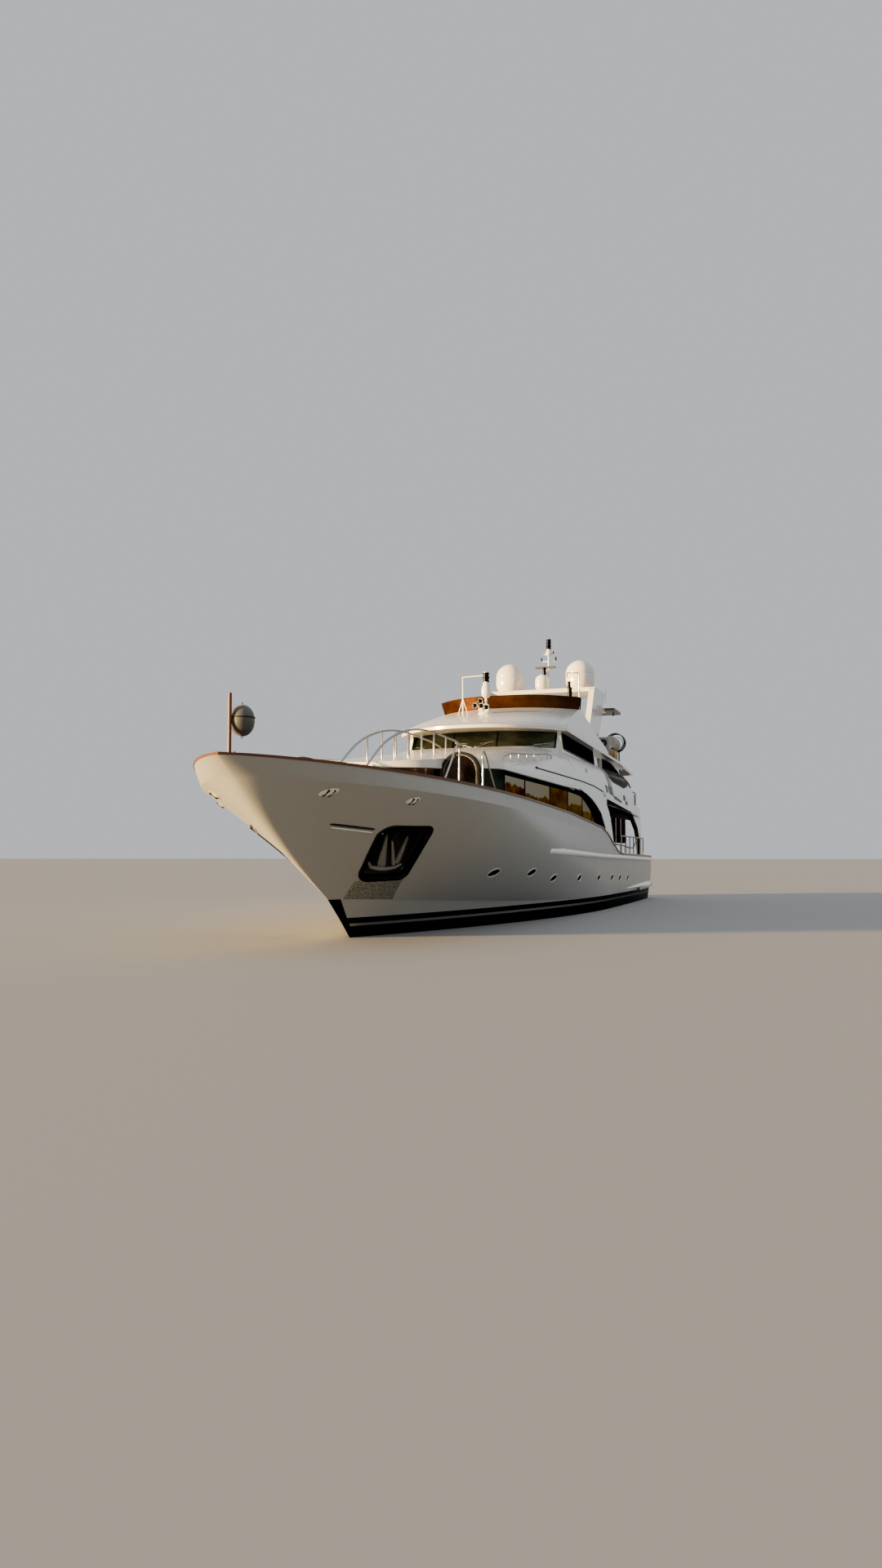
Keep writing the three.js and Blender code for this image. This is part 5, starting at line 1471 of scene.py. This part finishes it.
def roof_skin(columns=26):
    """Rows at equal steps along the rim; columns from the centre line over the top and down the face."""
    front = np.linspace(0, np.pi / 2, 30)
    rim = [(HOUSE_FORE, HOUSE_HALF), (9.35, HOUSE_HALF), (9.70, 3.38), (9.90, 3.08), (9.96, 2.10)]
    rim = evenly(np.vstack([rim, np.stack([10 + 1.1 * np.sin(front), 1.93 * np.cos(front)], -1)]), 230)
    x, edge = rim[:, :1], np.clip(rim[:, 1:], 1e-4, HOUSE_HALF)
    power = roof_power(x)
    first = np.arccos(np.clip((edge / HOUSE_HALF) ** (power / 2), 0, 1))
    angle = first + (np.pi / 2 - first) * np.linspace(1, 0, columns) ** 1.3
    y = HOUSE_HALF * np.cos(angle) ** (2 / power)
    y[:, 0] = 0
    z = ROOF_FOOT + (roof_top(x) - ROOF_FOOT) * np.sin(angle)
    face = np.linspace(0, 1, 4)[1:]
    y = np.hstack([y, edge + 0 * face, np.maximum(edge - 0.14, 0)])
    z = np.hstack([z, z[:, -1:] * (1 - face) + ROOF_RIM * face, ROOF_RIM + 0 * edge])
    points = points_at(x, y, z)
    points[:, -1, 0] = np.where(x[:, 0] > 9.4, x[:, 0] - 0.10, x[:, 0])
    whole = np.concatenate([(points * (1, -1, 1))[:, :0:-1], points], 1)
    faces = grid(whole.shape[0], whole.shape[1])[:, ::-1]
    points = whole.reshape(-1, 3)
    middle = points[faces].mean(1)
    reach = np.hypot(np.abs(middle[:, 1]) - ARCH_Y, np.maximum(middle[:, 2] - ARCH_SPRING, 0))
    return points, faces[~((reach < 0.53) & (middle[:, 0] > 9.80))]


roof = build("coachroof_skin", roof_skin(), paint, angle=32, closed=False)
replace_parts(roof, "coachroof")
print("roof faces:", len(roof.data.polygons))

# %% [markdown]
# # Louvres
#
# Air for the engines and the cabins goes in through slatted recesses in the side
# of the upper deck; the middle one bends like a hockey stick. Each is a sheet
# between its fore and its aft edge, and the finish draws the slats.
# %% Louvres
UPPER_SIDE = 3.608
UPPER_SLOPE = 0.026
LOUVRES = [([(-6.44, 5.15), (-6.53, 4.84)], [(-6.80, 5.15), (-6.90, 4.84)]),
           ([(-6.98, 5.12), (-7.20, 4.86), (-8.00, 4.63), (-9.63, 4.53)],
            [(-8.05, 5.17), (-7.86, 4.90), (-8.40, 4.75), (-9.89, 4.60)]),
           ([(-10.67, 4.94), (-10.89, 4.50)], [(-11.18, 4.94), (-11.42, 4.50)])]


def upper_side(x, z):
    """Points on the side above the aft deck: the house wall, and the deck's edge band below it."""
    band = 1 - np.clip((z - (4.66 + UPPER_SLOPE * x + 0.31)) / 0.02, 0, 1)
    return points_at(x, np.maximum(cabin_y(z) + 0.010, UPPER_SIDE * band), z)


louvre_sheets = [between(fore, aft, upper_side, 30, 8) for fore, aft in LOUVRES]
mirrored("louvre_sheets", louvre_sheets, louvres, angle=60, closed=False)
print(len(LOUVRES), "louvres a side")

# %% [markdown]
# # The opening beside the aft deck
#
# Behind the sweep the side is open. A pane closes its fore part, and a steel rail runs over the bulwark. The black
# along its head is painted shade, for the shade under the deck above, and the edge of the aft pillar is black. Thin
# sheets and tubes are enough, because only their edges and fronts show.
# %% Side opening of the aft deck
def deck_line(x):
    """Underside of the upper deck."""
    return 4.62 + UPPER_SLOPE * np.minimum(0, x)


glass_x = np.linspace(-7.395, -5.0, 12)
behind_sweep = sheet(glass_x, WALL_Y + 0.007, 2.35, deck_line(glass_x) - 0.02)
mirrored("aft_side_glass", [behind_sweep], green_glass, closed=False)
head = [(x, deck_line(x) - 0.11) for x in (-6.15, -12.4)]
over_head = [(-6.15, 4.55), (-8.42, 4.44), (-12.5, 4.23)]
# A black band at the opening's head: painted shade under the deck above.
shaded_opening_edge = between(head, over_head, lambda x, z: points_at(x, UPPER_SIDE, z), rows=2)
mirrored("side_opening_shade_edges", [shaded_opening_edge], black_paint, closed=False)
pillar = evenly([(-12.3, 4.40), (-14.06, 4.01), (-15.40, 3.48), (-16.06, 2.84), (-16.16, 2.13)], 40)
pillar_rows = [(0.012, 3.24, -0.02), (0.012, 3.408, -0.02), (-0.17, 3.408, 0.10)]
pillar_trim = np.stack([points_at(pillar[:, 0] + dx, y, pillar[:, 1] + dz) for dx, y, dz in pillar_rows], 1)
mirrored("aft_pillar_trims", [surface(pillar_trim)], black_paint, angle=60, closed=False)
low_rail = smooth_path([(-7.35, 3.42, 2.74), (-9.0, 3.42, 2.70), (-11.5, 3.41, 2.64), (-13.6, 3.37, 2.57),
                        (-14.9, 3.33, 2.66), (-15.6, 3.32, 2.98)])
stanchions = [post(x, 3.41, 2.15, 2.68, 0.016) for x in (-8.2, -9.3, -10.4, -11.5, -12.6)]
mirrored("side_opening_rails", [tube(low_rail, 0.032), *stanchions], bright_steel, angle=60)
# A black slab across the top of the opening: painted shade.
shade_header = soft_box((-10.9, 3.335, 4.10), (3.38, 0.016, 0.22), 0.1, 9)
mirrored("side_opening_shade_headers", [shade_header], black_paint, angle=50)
print(len(stanchions), "stanchions a side")

# %% [markdown]
# # Ceilings over the aft decks
#
# Seen from the water the undersides of the upper decks are dark panels, and their near black is also painted shade, for
# the shade under the decks. Each is a grid just below the solid deck: even steps along it, and across it shares of the
# half breadth there.
# %% Ceilings
def panel(x, half_breadth, height):
    """A grid below a deck between both sides, at a height for each x."""
    x = x[:, None]
    y = np.linspace(-1, 1, 9) * half_breadth(x)
    return surface(points_at(x, y, height(x) - 0.008))


# Dark ceiling panels, partly painted shade under the decks.
aft_deck = panel(np.linspace(-16.9, -7.42, 20), lambda x: 3.22, deck_line)
build("aft_deck_ceiling_shade", aft_deck, ceiling_and_shade, closed=False)
upper_deck = panel(np.linspace(-16.75, -13.84, 12), lambda x: np.interp(x, [-16.75, -16.0, -13.8], [2.86, 2.97, 3.04]),
                   lambda x: 6.75 + 0.028 * x)
build("upper_deck_ceiling_shade", upper_deck, ceiling_and_shade, closed=False)
print("ceiling height aft:", round(float(deck_line(-16.9)), 2))

# %% [markdown]
# # Gate rails on the cap rail
#
# Where guests step aboard forward, a loop of tube stands on the cap rail at each
# side of the gate. Every loop rises straight, bends over and comes down at a slant.
# %% Gate rails
def gate_loop(x0, x1, height):
    """Corner points of a loop: an upright at x0, a tight bend, and a slanting leg down to x1."""
    points = []
    for x, up in ((x0, -0.02), (x0, 0.6), (x0, 0.93), (x0 + (x1 - x0) * 0.06, 1.0), (x0 + (x1 - x0) * 0.16, 0.95),
                  (x0 + (x1 - x0) * 0.55, 0.5), (x1, -0.02)):
        deck = line_points((x - STERN) / (STEM[8] - STERN))[8]
        points.append((x, deck[1] - 0.06, float(cap_z(x)) + up * height))
    return smooth_path(points, 60)


loops = [tube(gate_loop(12.62, 13.32, 0.95), 0.023), tube(gate_loop(11.26, 10.42, 0.95), 0.023)]
mirrored("gate_rails", loops, bright_steel, angle=60)
print(len(loops), "loops a side")

# %% [markdown]
# # Lamps, horns and aerials
#
# Navigation lamps are black cans stacked on their mast, horns are trumpets, and
# aerials are thin whips. Nearly all of them are turned shapes, so each needs only
# a profile; those that belong to one mast are joined into one piece.
# %% Signal mast fittings
def lamp_stack(x, y, low, high, radius, stages=2):
    """A can with a rim above and below each stage: radius steps out at the rims."""
    step = (high - low) / stages
    profile = [(0, low)]
    for k in range(stages):
        base = low + k * step
        profile += [(radius, base), (radius, base + 0.14 * step), (radius * 0.84, base + 0.18 * step),
                    (radius * 0.84, base + 0.82 * step), (radius, base + 0.86 * step)]
    return turned(profile + [(radius, high), (radius * 0.4, high + 0.03), (0, high + 0.035)], (x, y, 0), 28)


HORN = [(0, 0), (0.032, 0), (0.036, 0.16), (0.052, 0.26), (0.098, 0.34), (0.104, 0.35), (0.088, 0.34), (0.04, 0.27),
        (0, 0.26)]
HORN_THROAT = [(0, 0.345), (0.080, 0.345), (0.084, 0.352), (0.078, 0.356), (0, 0.356)]
SIGNAL_X = -0.70
HORN_PLACES = [(SIGNAL_X + 0.06, y, z) for y, z in ((-0.33, 7.86), (-0.12, 8.02), (-0.08, 7.84), (0.12, 7.78))]
HOUSING = [(0, 8.20), (0.10, 8.20), (0.17, 8.28), (0.19, 8.42), (0.175, 8.56), (0.12, 8.72), (0.10, 8.81), (0, 8.81)]
MAST_FOOT = [(0, 7.42), (0.36, 7.42), (0.33, 7.55), (0.24, 7.66), (0.13, 7.74), (0.09, 7.80), (0, 7.80)]
horns = [turned(HORN, place, 28, axis=0) for place in HORN_PLACES]
throats = [turned(HORN_THROAT, place, 28, axis=0) for place in HORN_PLACES]
arm = tube([(SIGNAL_X + 0.1, -0.33, 7.86), (SIGNAL_X + 0.04, -0.1, 7.92), (SIGNAL_X, 0.0, 7.95),
            (SIGNAL_X + 0.1, 0.12, 7.90)], 0.022, (0, 0, 1))
build("signal_lamp", together(lamp_stack(SIGNAL_X, 0, 8.80, 9.15, 0.13), *throats), black_paint, angle=40)
build("signal_horns", together(*horns, arm), cast_steel, angle=40)
housing = turned(HOUSING, (SIGNAL_X, 0, 0), 36)
foot = turned(MAST_FOOT, (SIGNAL_X + 0.05, 0, 0), 40)
stays = [tube([(SIGNAL_X, -0.93, 8.20), (SIGNAL_X + dx, -0.93 + dy, 7.48)], 0.018, (1, 0.2, 0))
         for dx, dy in ((0.0, -0.22), (0.12, 0.26))]
build("signal_mast_housing", together(housing, foot, *stays), paint, angle=35)
print(len(horns), "horns")

# %% [markdown]
# # Deck lamp, mast head and whips
#
# A floodlight hangs from a bent bar on the port side of the roof. The mast head
# carries a stack of all-round lamps, and whips taper from a thick foot, so that
# their radius falls in steps with height.
# %% Deck lamp, mast head and whips
LAMP_X = -4.3
bent_bar = [(2.85, 7.98), (2.85, 8.8), (2.85, 9.55), (2.82, 9.575), (2.38, 9.60), (2.36, 9.58), (2.36, 9.38)]
bracket = [tube([(LAMP_X, y, z) for y, z in bent_bar], 0.022, (1, 0, 0)),
           post(LAMP_X, 2.47, 6.72, 8.60, 0.030)]
build("deck_lamp_bracket", together(*bracket), bright_steel, angle=40)
deck_lamps = together(lamp_stack(LAMP_X, 2.47, 8.56, 8.98, 0.10), lamp_stack(LAMP_X, 2.44, 8.99, 9.22, 0.075, 1))
build("deck_lamps", deck_lamps, black_paint, angle=40)

MAST_X = -11.1
MAST_LAMPS = [(0, 11.93, 12.39, 0.125, 3), (-0.34, 11.36, 11.50, 0.04, 1), (0.34, 11.36, 11.52, 0.04, 1),
              (0.23, 11.69, 11.80, 0.035, 1)]
build("mast_lamps", together(*[lamp_stack(MAST_X, *lamp) for lamp in MAST_LAMPS]), black_paint, angle=40)
build("dome_lamp", lamp_stack(-9.8, 0.10, 10.50, 10.82, 0.09, 1), black_paint, angle=40)
mirrored("stern_lamps", [soft_box((-17.08, 3.0, 4.20), (0.10, 0.07, 0.09), 0.4)], black_paint)
COLLAR = [(0, 11.62), (0.08, 11.62), (0.15, 11.70), (0.16, 11.76), (0.11, 11.84), (0.09, 11.94), (0, 11.94)]
build("mast_collar", turned(COLLAR, (MAST_X, 0, 0), 32), paint, angle=40)
WHIPS = [(MAST_X, 0.36, 11.36, 12.62, 0.011), (-11.5, 2.62, 8.93, 10.1, 0.012), (-11.5, -2.62, 8.93, 10.1, 0.012),
         (-9.9, 0.95, 9.75, 10.75, 0.010)]
whips = []
for x, y, low, high, radius in WHIPS:
    height = np.linspace(low, high, 12)
    thin = np.interp(height, [low, low + 0.12, low + 0.14, high], [2.2 * radius, 2.0 * radius, radius, radius * 0.45])
    whips.append(tube(points_at(x, y, height), thin, (1, 0, 0), 8))
build("whip_aerials", together(*whips), grey_cover, slot="black_paint", angle=50)
print(len(WHIPS), "whips")

# %% [markdown]
# # Wings of the radar arch and gear beside the rafts
#
# The small wings carry aerials, with a ball lamp under each tip; their near black is painted shade, as their undersides
# lie in shade. Bands hold each raft, and behind it stands a round cage of dark tube. Ahead of it a locker with a round
# hole holds a hose reel.
# %% Wings and raft gear
# Near-black wings: painted shade of their undersides.
wings_in_painted_shade = soft_box((-11.6, 2.70, 8.90), (0.94, 0.46, 0.062), 0.14, 9, 40)
low_half = np.linspace(0.01, math.pi - 0.6, 9)
ball_profile = np.vstack([np.stack([0.065 * np.sin(low_half), 8.72 - 0.065 * np.cos(low_half)], -1),
                          [(0.02, 8.79), (0.02, 8.86), (0, 8.86)]])
mirrored("arch_wings_painted_shade", [wings_in_painted_shade, turned(ball_profile, (-11.3, 3.0, 0), 20)], vinyl, slot="black_paint", angle=45)

RAFT_Y, RAFT_Z, RAFT_RADIUS = 2.99, 7.33, 0.29
CAGE_Z, CAGE_RADIUS = RAFT_Z + 0.14, 0.42


def hoop(x, z, radius, tube_radius):
    """A ring of tube that stands across the boat."""
    turn = np.linspace(0, 2 * np.pi, 49)
    return tube(points_at(x, RAFT_Y + radius * np.cos(turn), z + radius * np.sin(turn)), tube_radius, (1, 0, 0))


bands = [hoop(x, RAFT_Z, RAFT_RADIUS + 0.012, 0.016) for x in (-11.27, -10.9, -10.53)]
cage = [hoop(x, CAGE_Z, CAGE_RADIUS, 0.022) for x in (-11.70, -11.95, -12.20)]
for angle in np.radians(np.arange(10, 360, 40)):
    y, z = RAFT_Y + CAGE_RADIUS * math.cos(angle), CAGE_Z + CAGE_RADIUS * math.sin(angle)
    cage.append(tube([(-11.62, y, z), (-12.24, y, z)], 0.018, (0, 0.6, 0.8)))
cage += [hoop(-12.20, CAGE_Z, radius, 0.014) for radius in (0.28, 0.14)]
cage += [post(x, RAFT_Y + dy, 6.5, RAFT_Z - 0.2, 0.018) for x in (-11.72, -11.98) for dy in (-0.16, 0.16)]
mirrored("raft_bands", bands, bright_steel, angle=60)
mirrored("raft_cages", cage, rubber, angle=60)
locker = [soft_box((-9.72, 2.86, 7.20), (0.30, 0.24, 0.30), 0.22),
          soft_box((-9.72, 2.86, 6.72), (0.20, 0.16, 0.30), 0.3)]
mirrored("reel_lockers", locker, grey_cover, slot="gelcoat_white", angle=40)
REEL = [(0, -0.04), (0.17, -0.04), (0.17, 0.012), (0.15, 0.03), (0.06, 0.02), (0.05, -0.02), (0, -0.02)]
mirrored("hose_reels", [turned(REEL, (-9.42, 2.86, 7.22), 32, axis=0)], rubber, angle=40)
print(len(bands), "bands on each raft")

# %% [markdown]
# # Screens beside the aft deck
#
# Between the sweep and the aft pillar four panes of dark glass keep the wind off
# the aft deck, held by steel posts that stand on the bulwark.
# %% Wind screens
SCREEN_Y, PANE_EDGES = 3.30, [-7.50, -8.60, -9.90, -11.20, -12.50]
wind_panes = [soft_box(((aft + fore) / 2, SCREEN_Y, 3.52), ((fore - aft) / 2 - 0.04, 0.008, 0.76), 0.08, 7, 24)
              for fore, aft in zip(PANE_EDGES, PANE_EDGES[1:])]
wind_posts = [post(x, SCREEN_Y, 2.05, deck_line(x) - 0.02, 0.022) for x in PANE_EDGES]
mirrored("wind_screen_panes", wind_panes, dark_brown, angle=50)
mirrored("wind_screen_posts", wind_posts, bright_steel, angle=50)
print(len(wind_panes), "panes a side")

# %% [markdown]
# # Folding chairs
#
# Dark folding chairs stand at the rail of the upper aft deck: two crossed frames,
# a thin seat and a back. Their crossed legs show against the sky.
# %% Chairs
CHAIR_BARS = [((0.24, 0), (-0.24, 0.62)), ((-0.24, 0), (0.24, 0.62)), ((-0.26, 0.45), (-0.32, 1.05))]


def chair(x, y, floor_z):
    """Crossed legs on both sides of a seat, and a leaning back, as one shape."""
    bars = [tube([(x + dx, y + dy, floor_z + dz) for dx, dz in ends], 0.020)
            for ends in CHAIR_BARS for dy in (-0.24, 0.24)]
    seat = soft_box((x, y, floor_z + 0.47), (0.24, 0.25, 0.018), 0.3)
    back = soft_box((x - 0.31, y, floor_z + 0.90), (0.020, 0.25, 0.13), 0.3)
    return together(*bars, seat, back)


seats = [chair(x, y, 4.72 + UPPER_SLOPE * x) for x, y in ((-14.5, 2.75), (-15.3, 2.65), (-16.1, 2.45))]
mirrored("folding_chairs", seats, vinyl, angle=50)
print(len(seats), "chairs a side")

# %% [markdown]
# # Floor and light
#
# The boat floats in a plain studio: a grey floor at the waterline hides the
# underwater body, and a pale surround gives the gloss something to show. The sun
# stands very low off the starboard bow and is strong and golden, as at the end of
# a calm day. A weak, cool and wide light from above keeps the shade open.
# %% Stage
FLOOR_HALF = 900
floor_finish, put, place = start("studio_floor", Roughness=0.9, Specular_IOR_Level=0.1)
put("Base Color", cloud(place, 0.02, detail=2).mix(colour(0.33, 0.33, 0.325), colour(0.36, 0.36, 0.355)))
floor_mesh = bpy.data.meshes.new("studio_floor")
corners = [(x * FLOOR_HALF, y * FLOOR_HALF, 0) for x, y in ((-1, -1), (1, -1), (1, 1), (-1, 1))]
floor_mesh.from_pydata(corners, [], [(0, 1, 2, 3)])
floor_mesh.materials.append(floor_finish)
floor = add_object("studio_floor", floor_mesh)


def sun(name, toward, strength, tint, spread):
    """A soft distant light that shines along a direction."""
    lamp = add_object(name, bpy.data.lights.new(name, "SUN"))
    lamp.rotation_euler = Vector(toward).to_track_quat("-Z", "Y").to_euler()
    lamp.data.energy = strength
    lamp.data.color = tint
    lamp.data.angle = math.radians(spread)


sun("key", toward=(-0.56, 0.80, -0.07), strength=26.0, tint=(1.0, 0.64, 0.26), spread=5)
sun("sky", toward=(-0.10, -0.25, -0.96), strength=0.4, tint=(0.88, 0.93, 1.0), spread=110)
surround = bpy.data.worlds.new("surround")
bpy.context.scene.world = surround
surround.use_nodes = True
backdrop = surround.node_tree.nodes["Background"]
backdrop.inputs["Color"].default_value = (0.80, 0.83, 0.88, 1)
backdrop.inputs["Strength"].default_value = 0.74
print("lights:", [lamp.name for lamp in bpy.data.lights])
